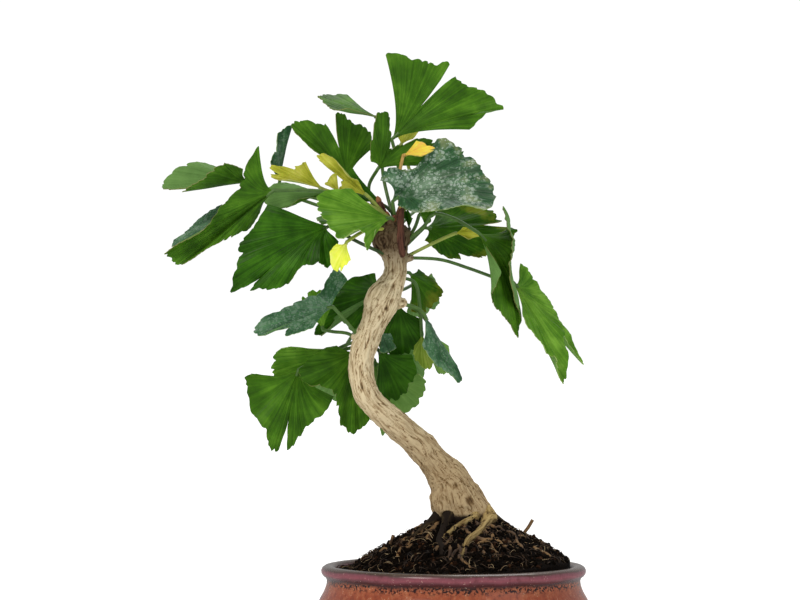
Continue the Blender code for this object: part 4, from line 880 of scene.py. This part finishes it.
def soil_height(x, y):
    """Height of the crumbly soil: the heap, its clods and its finer crumbs."""
    place = Vector((x, y, 3.0))
    clods = noise.fractal(place / SOIL_GRAIN, 0.7, 2.0, 3)
    crumbs = noise.fractal(place / CRUMB_GRAIN, 0.9, 2.0, 3)
    brim = between(math.hypot(x, y), SOIL_EDGE, SOIL_EDGE - 4)
    return heap_height(x, y) + (SOIL_RELIEF * clods + CRUMB_RELIEF * crumbs) * (0.25 + 0.75 * brim)


def between(value, low, high):
    """0 at low and 1 at high, held between them."""
    return max(0.0, min(1.0, (value - low) / (high - low)))


def make_soil(skin):
    """The soil's whole body, with a crumbly top."""
    brim = NECK_RADIUS - WALL - SOIL_GAP
    rings = [(brim * k / SOIL_RINGS, None) for k in range(1, SOIL_RINGS + 1)]
    rings += pot_wall(WALL + SOIL_GAP)[1:-1] + [(54, 10), (FOOT_RADIUS - 3.5, SOIL_FLOOR)]
    bm = bmesh.new()
    rows = []
    for radius, height in rings:
        row = []
        for k in range(SOIL_STEPS):
            angle = 2 * math.pi * k / SOIL_STEPS
            x, y = radius * math.cos(angle), radius * math.sin(angle)
            row.append(bm.verts.new(Vector((x, y, soil_height(x, y) if height is None else height)) * MM))
        rows.append(row)
    join_rings(bm, rows, ends=False)
    for row, height in ((rows[0], soil_height(0, 0)), (rows[-1], SOIL_FLOOR)):
        middle = bm.verts.new((0, 0, height * MM))
        for k in range(SOIL_STEPS):
            bm.faces.new((middle, row[k], row[(k + 1) % SOIL_STEPS]))
    bmesh.ops.recalc_face_normals(bm, faces=bm.faces)
    for face in bm.faces:
        face.smooth = True
    soil = shown("soil_body", mesh_from(bm, "soil_body"))
    soil.data.materials.append(skin)
    on_root(soil, "soil", "soil")


def soil_top():
    """A plain sheet of the soil's surface to scatter on, with the trunk's foot left bare."""
    bm = bmesh.new()
    bmesh.ops.create_grid(bm, x_segments=90, y_segments=90, size=SOIL_EDGE * MM)
    for vertex in bm.verts:
        x, y = vertex.co.x / MM, vertex.co.y / MM
        vertex.co.z = soil_height(x, y) * MM
    bare = [v for v in bm.verts if math.hypot(v.co.x, v.co.y) > (SOIL_EDGE - 0.6) * MM
            or math.hypot(v.co.x / MM - TRUNK_FOOT[0], v.co.y / MM) < TRUNK_FOOT[1]]
    bmesh.ops.delete(bm, geom=bare, context="VERTS")
    return mesh_from(bm, "soil_top")


def jostled(add, geometry, size, reach):
    """Move points by noise of a grain and a reach in millimetres."""
    place = add("InputPosition")
    shake = add("TexNoise", {"Vector": place, "Scale": 1 / (size * MM), "Detail": 1.0}, out=None)
    centred = add("VectorMath", {0: shake.outputs["Color"], 1: (0.5, 0.5, 0.5)}, operation="SUBTRACT")
    offset = add("VectorMath", {0: centred, "Scale": 2 * reach * MM}, operation="SCALE")
    return add("SetPosition", {"Geometry": geometry, "Offset": offset})


def crumb_tree(skin):
    """Strews crumbs of soil over a sheet, each bedded in it by a third."""
    tree, add, given = new_tree("soil crumbs", Density=("Float", 90000.0), Seed=("Int", 3),
                                Smallest=("Float", 0.45 * MM), Largest=("Float", 2.3 * MM))
    points = add("DistributePointsOnFaces",
                 {"Mesh": given["Geometry"], "Density": given["Density"], "Seed": given["Seed"]})
    crumb = add("MeshIcoSphere", {"Radius": 1.0, "Subdivisions": 1})
    spin = add("RandomValue", {0: (0, 0, 0), 1: (6.28, 6.28, 6.28), 8: 5}, data_type="FLOAT_VECTOR")
    share = add("Math", add("RandomValue", {2: 0.0, 3: 1.0, 8: 7}, out=1), 2.5, operation="POWER")
    size = add("MapRange", {"Value": share, "To Min": given["Smallest"], "To Max": given["Largest"]})
    flat = add("CombineXYZ", {0: size, 1: add("Math", size, 0.8, operation="MULTIPLY"),
                              2: add("Math", size, 0.62, operation="MULTIPLY")})
    crumbs = add("InstanceOnPoints", {"Points": points, "Instance": crumb, "Rotation": spin, "Scale": flat})
    real = add("RealizeInstances", {0: crumbs})
    finish_tree(add, jostled(add, real, 1.1, 0.45), skin)
    return tree


def fibre_tree(name, skin, density, seed, shortest, longest, thick, curl):
    """Strews bent fibres over a sheet: each rises from the soil and dips back into it."""
    tree, add, given = new_tree(name, Density=("Float", density), Seed=("Int", seed),
                                Shortest=("Float", shortest * MM), Longest=("Float", longest * MM),
                                Radius=("Float", thick * MM))
    points = add("DistributePointsOnFaces",
                 {"Mesh": given["Geometry"], "Density": given["Density"], "Seed": given["Seed"]},
                 out=None).outputs
    arch = add("CurvePrimitiveBezierSegment",
               {"Resolution": 9, "Start": (-0.45, 0.0, -0.15), "Start Handle": (-0.3, 0.15, 0.45),
                "End Handle": (0.15, -0.2, 0.1), "End": (0.5, 0.08, 0.12)})
    spans = ((-0.25, 0.25), (-0.25, 0.25), (0.0, 6.28), (0.0, 1.0))
    lean, tip, turn, pick = (add("RandomValue", {2: low, 3: high, 8: seed + k}, out=1)
                             for k, (low, high) in enumerate(spans, start=1))
    spin = add("EulerToRotation", add("CombineXYZ", lean, tip, turn))
    spin = add("RotateRotation", points["Rotation"], spin, rotation_space="LOCAL")
    share = add("Math", pick, 1.7, operation="POWER")
    size = add("MapRange", {"Value": share, "To Min": given["Shortest"], "To Max": given["Longest"]})
    fibres = add("InstanceOnPoints", {"Points": points["Points"], "Instance": arch, "Rotation": spin,
                                      "Scale": size})
    real = add("RealizeInstances", {0: fibres})
    bent = jostled(add, real, 5.0, curl)
    along = add("SplineParameter", out="Factor")
    taper = add("Math", 1.15, add("Math", along, 2.0, operation="POWER"), operation="SUBTRACT")
    profile = add("CurvePrimitiveCircle", {"Resolution": 4, "Radius": given["Radius"]})
    fibre = add("CurveToMesh", {"Curve": bent, "Profile Curve": profile, "Scale": taper, "Fill Caps": True})
    finish_tree(add, fibre, skin)
    return tree


def make_litter(crumb_skins, pale, brown):
    """Crumbs, fibres and bark shreds on the soil's surface."""
    for number, (skin, density) in enumerate(zip(crumb_skins, CRUMB_DENSITIES)):
        crumbs = grown(f"soil_crumbs_{number + 1}", soil_top(), crumb_tree(skin), Seed=3 + number,
                       Density=density)
        on_root(crumbs, "soil")
    fine = fibre_tree("root fibres", pale, 15000.0, 11, 3.0, 12.0, 0.15, 1.8)
    on_root(grown("pale_fibres", soil_top(), fine), "soil")
    shreds = fibre_tree("bark shreds", brown, 60000.0, 31, 2.0, 9.0, 0.3, 1.3)
    on_root(grown("brown_shreds", soil_top(), shreds), "soil")


class Limb:
    """A tapering tube of wood with its axis, its girth and a frame that doesn't twist along it."""

    def __init__(self, points, kind):
        self.kind = kind
        path = [Vector(p) for p in path_through(points, 8)]
        self.axis = [p.to_3d() for p in path]
        self.girth = [p[3] for p in path]
        self.run = [0.0]
        for one, two in zip(self.axis, self.axis[1:]):
            self.run.append(self.run[-1] + (two - one).length)
        self.frames = []
        side = Vector((1, 0, 0))
        for k in range(len(self.axis)):
            ahead = (self.axis[min(k + 1, len(self.axis) - 1)] - self.axis[max(k - 1, 0)]).normalized()
            side = (side - ahead * side.dot(ahead)).normalized()
            self.frames.append((side.copy(), ahead.cross(side), ahead))

    def add_to(self, bm):
        """Add the tube, with rounded ends, to a mesh."""
        last = len(self.axis) - 1
        rings = [(0, -0.3, 0.55), (0, -0.18, 0.85)] + [(k, 0.0, 1.0) for k in range(last + 1)]
        rings += [(last, 0.18, 0.85), (last, 0.3, 0.55)]
        rows = []
        for k, beyond, share in rings:
            side, up, ahead = self.frames[k]
            middle = self.axis[k] + ahead * beyond * self.girth[k]
            radius = self.girth[k] * share
            turns = [2 * math.pi * m / LIMB_SIDES for m in range(LIMB_SIDES)]
            rows.append([bm.verts.new((middle + (side * math.cos(t) + up * math.sin(t)) * radius) * MM)
                         for t in turns])
        join_rings(bm, rows)


def fused(bm, name, voxel):
    """One closed skin round all the closed shells of a mesh."""
    rough = shown(name, mesh_from(bm, name))
    skin = rough.modifiers.new("skin", "REMESH")
    skin.mode = "VOXEL"
    skin.voxel_size = voxel * MM
    ease = rough.modifiers.new("ease", "SMOOTH")
    ease.factor = 0.5
    ease.iterations = 4
    result = evaluated(rough)
    bpy.data.objects.remove(rough)
    return result


def read(points, key):
    """The places or normals that a mesh keeps for its points."""
    found = np.empty(3 * len(points), dtype=np.float32)
    points.foreach_get(key, found)
    return found.reshape(-1, 3).astype(float)


def nearest_limb(places, limbs):
    """For each place in millimetres its place along and across its limb's grain, and that limb."""
    axis, girth, run = (np.array([value for limb in limbs for value in getattr(limb, kept)])
                        for kept in ("axis", "girth", "run"))
    frames = np.array([limb_frame for limb in limbs for limb_frame in limb.frames])
    owner = np.repeat(np.arange(len(limbs)), [len(limb.axis) for limb in limbs])
    grain = np.empty((len(places), 3))
    found = np.empty(len(places), dtype=int)
    for start in range(0, len(places), BATCH):
        part = slice(start, start + BATCH)
        best = (np.linalg.norm(places[part, None] - axis, axis=2) - girth).argmin(axis=1)
        found[part] = owner[best]
        grain[part] = np.einsum("pk,pik->pi", places[part] - axis[best], frames[best])
        grain[part, 2] += run[best] + LIMB_SHIFT * owner[best]
    return grain, found


def make_trunk(bark):
    """Trunk, roots and short shoots as one skin, with corky fissures along the grain."""
    limbs = [Limb(TRUNK_AXIS, "trunk")]
    for root in ROOTS:
        limbs.append(Limb([(x, y, heap_height(x, y) + lift, radius) for x, y, lift, radius in root], "root"))
    limbs += [Limb(shoot, "shoot") for shoot in [FRONT_SHOOT] + SHOOTS[:3]]
    limbs += [Limb(spur, "spur") for spur in SHOOTS[3:]]
    bm = bmesh.new()
    for limb in limbs:
        limb.add_to(bm)
    skin = fused(bm, "trunk_body", TRUNK_VOXEL)
    places = read(skin.vertices, "co") / MM
    normals = read(skin.vertex_normals, "vector")
    grain, owner = nearest_limb(places, limbs)
    kinds = np.array([limb.kind for limb in limbs])[owner]
    for place, radius, height in BURLS:
        gap = np.linalg.norm(places - np.array(place), axis=1) / radius
        places += normals * (height * np.exp(-gap * gap))[:, None]
    fissure = np.ones(len(places))
    for k, (x, y, s) in enumerate(grain):
        deep = {"trunk": 1.0, "root": 0.45, "shoot": 0.35, "spur": 0.6}[kinds[k]]
        warp = noise.noise(Vector((x, y, s)) / 9.0) * 1.6
        long_way = Vector((x / FISSURE_WIDTH + warp, y / FISSURE_WIDTH, s / FISSURE_LENGTH))
        crack = max(0.0, 1 - abs(noise.noise(long_way)) / 0.11)
        cross = Vector((x / 6.0, y / 6.0, s / 3.4 + 0.7 * warp))
        check = max(0.0, 1 - abs(noise.noise(cross)) / 0.05) * 0.25
        knots = noise.fractal(Vector((x, y, s / 1.6)) / 7.0, 0.8, 2.0, 3)
        low = max(crack, check)
        fissure[k] = 1 - low
        lift = WRINKLE * noise.fractal(Vector((x, y, s / 3)) / 1.5, 0.8, 2.0, 3) + 0.75 * knots
        places[k] += normals[k] * deep * (lift - FISSURE_DEPTH * low)
    for place, radius, height in HOLLOWS:
        gap = np.linalg.norm(places - np.array(place), axis=1) / radius
        dip = np.exp(-gap ** 4)
        places -= normals * (height * dip)[:, None]
        fissure *= 1 - 0.9 * dip
    centre, wide, pitch, depth = SPIRAL_KNOT
    offset = places - np.array(centre)
    reach = np.linalg.norm(offset, axis=1)
    wound = 2 * math.pi * reach / pitch + np.arctan2(offset[:, 2], offset[:, 0])
    groove = np.exp(-(reach / wide) ** 4) * (0.5 + 0.5 * np.cos(wound))
    places -= normals * (depth * groove)[:, None]
    fissure *= 1 - 0.8 * groove
    above = places[:, 2] - np.array([heap_height(x, y) for x, y, z in places])
    earth = np.clip(1.25 - above / 3.2, 0, 1) * (kinds != "shoot")
    dug = (owner > 2) & (kinds == "root")
    skin.vertices.foreach_set("co", (places * MM).astype(np.float32).ravel())
    stored(skin, "grain", "FLOAT_VECTOR", grain * MM)
    stored(skin, "fissure", "FLOAT", fissure)
    stored(skin, "shoot", "FLOAT", kinds == "shoot")
    stored(skin, "root", "FLOAT", kinds == "root")
    stored(skin, "earth", "FLOAT", np.maximum(earth * np.where(kinds == "root", 0.35, 0.9), 0.62 * dug))
    skin.materials.clear()
    skin.materials.append(bark)
    skin.shade_smooth()
    on_root(shown("trunk_skin", skin), "bark", "trunk")


def thread_tree(name, skin, sides):
    """Gives lines their girth."""
    tree, add, given = new_tree(name, Sides=("Int", sides))
    finish_tree(add, tube(add, given["Geometry"], given["Sides"]), skin)
    return tree


def threads(name, paths, skin, sides=7):
    """Tubes along paths of x, y, z and radius."""
    bm = bmesh.new()
    girth = bm.verts.layers.float.new("girth")
    for path in paths:
        add_line(bm, girth, path)
    piece = grown(name, mesh_from(bm, name), thread_tree(name, skin, sides))
    smoothed(piece)
    return piece


def make_rootlets(skin):
    """Thin roots that wander over the soil, half sunk in it, and two dry twigs that stand in it."""
    dice = random.Random(4)
    paths = []
    for k in range(38):
        heading = dice.uniform(0, 2 * math.pi)
        reach = dice.uniform(14, 44)
        x, y = 6 + reach * math.cos(heading), reach * math.sin(heading)
        turn, girth, path = heading + dice.uniform(-0.9, 0.9), dice.uniform(0.16, 0.42), []
        steps = dice.randint(6, 16)
        for step in range(steps):
            if math.hypot(x, y) > SOIL_EDGE - 4:
                break
            share = step / steps
            dive = -1.0 if step in (0, steps - 1) else 0.25 * girth
            path.append((x, y, soil_height(x, y) + dive, girth * (1.05 - 0.6 * share)))
            turn += dice.uniform(-0.45, 0.45)
            x, y = x + 2.1 * math.cos(turn), y + 2.1 * math.sin(turn)
        if len(path) > 3:
            x, y, z, girth = path[-1]
            path[-1] = (x, y, soil_height(x, y) - 1.0, girth)
            paths.append(path_through(path, 3))
    for x, y, lean, height, girth in TWIGS:
        foot = soil_height(x, y)
        paths.append([(x - 0.3 * lean, y, foot - 2.5, girth), (x, y, foot + 1.0, girth),
                      (x + 0.5 * lean, y - 0.4, foot + 0.5 * height, 0.9 * girth),
                      (x + lean, y, foot + height, 0.75 * girth)])
    on_root(threads("thin_roots", paths, skin), "bark")


def make_buds(skin):
    """Pointed winter buds in overlapping scales on the short shoots."""
    bm = bmesh.new()
    for place, ahead, length, radius in BUDS:
        ahead = Vector(ahead).normalized()
        side = ahead.orthogonal().normalized()
        up = ahead.cross(side)
        rows = []
        for step in range(15):
            share = step / 14
            girth = radius * (math.sin(math.pi * (0.22 + 0.76 * share)) ** 0.8)
            girth *= 1 + 0.14 * (1 - (share * 5) % 1.0)
            row = []
            for m in range(16):
                turn = 2 * math.pi * m / 16
                out = side * math.cos(turn) + up * math.sin(turn)
                row.append(bm.verts.new((Vector(place) + ahead * length * (share - 0.25) + out * girth) * MM))
            rows.append(row)
        join_rings(bm, rows)
    for face in bm.faces:
        face.smooth = True
    buds = shown("winter_buds", mesh_from(bm, "winter_buds"))
    buds.data.materials.append(skin)
    on_root(buds, "bark")


def blade_tree(name, upper, under, margin, stalk):
    """Gives a leaf's sheet its pleats and its thickness, and its stalk, drawn as an edge, its girth."""
    tree, add, given = new_tree(name, Blade=("Float", BLADE * MM), Pleat=("Float", PLEAT * MM),
                                Pleat_Width=("Float", PLEAT_WIDTH), Stalk_Sides=("Int", 10))
    loose = add("Compare", {2: add("InputMeshEdgeNeighbors"), 3: 0}, data_type="INT", operation="EQUAL")
    parts = add("SeparateGeometry", {"Geometry": given["Geometry"], "Selection": loose}, out=None,
                domain="EDGE")
    along = add("InputNamedAttribute", {"Name": "along"}, data_type="FLOAT")
    share = add("InputNamedAttribute", {"Name": "out"}, data_type="FLOAT")
    turn = add("Math", along, given["Pleat Width"], operation="DIVIDE")
    fold = add("Math", add("Math", turn, 2 * math.pi, operation="MULTIPLY"), operation="SINE")
    rise = add("Math", add("Math", fold, share, operation="MULTIPLY"), given["Pleat"], operation="MULTIPLY")
    half = add("Math", given["Blade"], -0.5, rise, operation="MULTIPLY_ADD")
    shift = add("VectorMath", {0: add("InputNormal"), "Scale": half}, operation="SCALE")
    sheet = add("SetPosition", {"Geometry": parts.outputs[1], "Offset": shift})
    thick = add("ExtrudeMesh", {"Mesh": sheet, "Offset Scale": given["Blade"], "Individual": False}, out=None)
    face = add("SetMaterial", {0: thick.outputs["Mesh"], "Material": upper})
    face = add("SetMaterial", {0: face, "Selection": thick.outputs["Side"], "Material": margin})
    back = add("SetMaterial", {0: add("FlipFaces", sheet), "Material": under})
    blade = add("JoinGeometry", [face, back])
    blade = add("MergeByDistance", {"Geometry": blade, "Distance": 0.005 * MM})
    petiole = tube(add, parts.outputs[0], given["Stalk Sides"])
    petiole = add("SetMaterial", {0: petiole, "Material": stalk})
    finish_tree(add, add("JoinGeometry", [blade, petiole]))
    return tree


def leaf_sheet(leaf, facing):
    """A leaf as a sheet with its stalk as an edge; along and out run with the margin and the veins."""
    points = [Vector(p) for p in path_through(leaf.rim, RIM_STEPS)]
    length = sum((b - a).length for a, b in zip(points, points[1:]))
    columns = max(26, round(length / COLUMN_WIDTH))
    places = [k / columns for k in range(columns + 1)]
    for slit, depth in leaf.slits:
        near = min(range(1, columns), key=lambda k: abs(places[k] - slit))
        places[near] = slit
    rows = [0.03 + 0.97 * (k / BLADE_ROWS) for k in range(BLADE_ROWS + 1)]
    grid = [[leaf.point(u, v) for v in rows] for u in places]
    leaf.serrate(places, rows, grid, length)
    across = grid[-1][-1] - grid[0][-1]
    outward = grid[columns // 2][-1] - grid[columns // 2][0]
    flip = outward.cross(across).dot(facing) < 0
    bm = bmesh.new()
    along = bm.verts.layers.float.new("along")
    out = bm.verts.layers.float.new("out")
    girth = bm.verts.layers.float.new("girth")
    uv = bm.loops.layers.uv.new("blade")
    net = []
    for u, column in zip(places, grid):
        net.append([])
        for v, point in zip(rows, column):
            vertex = bm.verts.new(point * MM)
            vertex[along], vertex[out] = u * length, v
            net[-1].append(vertex)
    for left, right in zip(net, net[1:]):
        for k in range(BLADE_ROWS):
            corners = (left[k], left[k + 1], right[k + 1], right[k])
            face = bm.faces.new(corners[::-1] if flip else corners)
            for loop in face.loops:
                loop[uv].uv = (loop.vert[along] / MAP_LENGTH, loop.vert[out])
    thick = YOUNG_PETIOLE if leaf.young else PETIOLE
    stalk = [(*p, thick) for p in [leaf.joins, *leaf.via]] + [(*leaf.base, 0.85 * thick)]
    stalk = [tuple(p) for p in path_through(stalk, 10)]
    stalk += [(*leaf.point(0.5, v), thick * share)
              for v, share in ((0.02, 0.8), (0.045, 0.6), (0.075, 0.42), (0.11, 0.25))]
    add_line(bm, girth, stalk)
    return mesh_from(bm, leaf.name)


def make_leaves():
    """Every leaf, with the tree of its finish, facing the viewer or the back unless it is turned."""
    trees = {}
    for finish, (dark, middle, light, edge, gloss, bloom, autumn) in LEAF_FINISHES.items():
        # Leaf stalk: smooth and green, in a dark and a light tone in patches
        stalk = two_tone(f"ginkgo petiole, {finish}", *STALKS.get(finish, STALKS["mature"]), 4.0, 0.4, 1.0,
                         0.05, 0.4, detail=4.0)
        # The thin edge of a leaf, which catches the light as a pale line
        margin = two_tone(f"ginkgo leaf margin, {finish}", edge, "7E8A44", 6.0, 0.5)
        trees[finish] = blade_tree(f"{finish} leaf",
                                   leaf_upper(finish, dark, middle, light, gloss, bloom, autumn),
                                   leaf_under(finish, middle, light), margin, stalk)
    for leaf in LEAVES:
        finish = FINISH_OF.get(leaf.name, "young" if leaf.young else "mature")
        facing = Vector((0, 1, 0.8)) if leaf.base.y > BACK_OF_CROWN else Vector((0, -1, 0.6))
        if leaf.name in TURNED_OVER:
            facing = -facing
        piece = grown(f"{leaf.name}_blade", leaf_sheet(leaf, facing), trees[finish])
        smoothed(piece)
        slot = "young_leaf" if leaf.young else "glaucous_leaf" if finish in GLAUCOUS else "leaf"
        on_root(piece, slot, leaf.name)


def make_stage():
    """A white paper floor, soft studio light and the photograph's camera."""
    bm = bmesh.new()
    bmesh.ops.create_grid(bm, x_segments=1, y_segments=1, size=60.0)
    paper = shown("paper_floor", mesh_from(bm, "paper_floor"))
    paper.data.materials.append(paper_material())
    paper.visible_glossy = False
    for name, place, size, power, tint in LIGHTS:
        lamp = bpy.data.lights.new(name, "AREA")
        lamp.size, lamp.energy, lamp.color = size, power, colour(tint)[:3]
        light = shown(name, lamp)
        light.location = place
        light.rotation_euler = (Vector(AIM) - Vector(place)).to_track_quat("-Z", "Y").to_euler()
    world = bpy.data.worlds.new("studio")
    world.use_nodes = True
    world.node_tree.nodes.clear()
    add = partial(put, world.node_tree)
    power = add("MapRange", add("LightPath", out="Is Camera Ray"), 0.0, 1.0, WORLD_LIGHT, WORLD_WHITE)
    add("OutputWorld", add("Background", (1, 1, 1, 1), power))
    bpy.context.scene.world = world
    lens = bpy.data.cameras.new("camera")
    lens.lens, lens.sensor_width, lens.clip_start = FOCAL_LENGTH, 36.0, 0.01
    camera = shown("camera", lens)
    camera.location = CAMERA
    camera.rotation_euler = (math.pi / 2 + CAMERA_TILT, 0, 0)
    bpy.context.scene.camera = camera
    bpy.context.scene.view_settings.view_transform = "Standard"


def main():
    """Dress every part of the tree and its pot."""
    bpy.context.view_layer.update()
    # Bare stoneware, fired buff brown: matt and gritty, with a grain of under 1 mm
    clay = two_tone("bare fired stoneware", "8A5F45", "B58763", 0.9, 0.85, 0.9, 0.2, 0.6, detail=3.0,
                    spread=(0.4, 0.65))
    make_pot(glaze_material(), clay)
    # Moulded polyethylene: black and half matt
    plastic = two_tone("black polyethylene", "121416", "24272B", 3.0, 0.45)
    for number in range(1, DRAINS + 1):
        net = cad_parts[f"drain_net_{number}"]
        net.data.materials.clear()
        net.data.materials.append(plastic)
    make_trunk(bark_material())
    make_soil(soil_material("damp peat", "050302", "100A06", "2C1E14"))
    make_litter([soil_material("peat crumbs", "050302", "120C07", "342618"),
                 soil_material("composted bark", "180E08", "342014", "6A4A2C")],
                fibre_material("pale root fibre", "6E5638", "C8B088"),
                fibre_material("brown bark shred", "140C07", "4E3620"))
    make_rootlets(fibre_material("thin brown root", "3A2616", "84643C"))
    make_buds(fibre_material("brown bud scale", "5A3320", "96603A"))
    make_leaves()
    make_stage()


main()
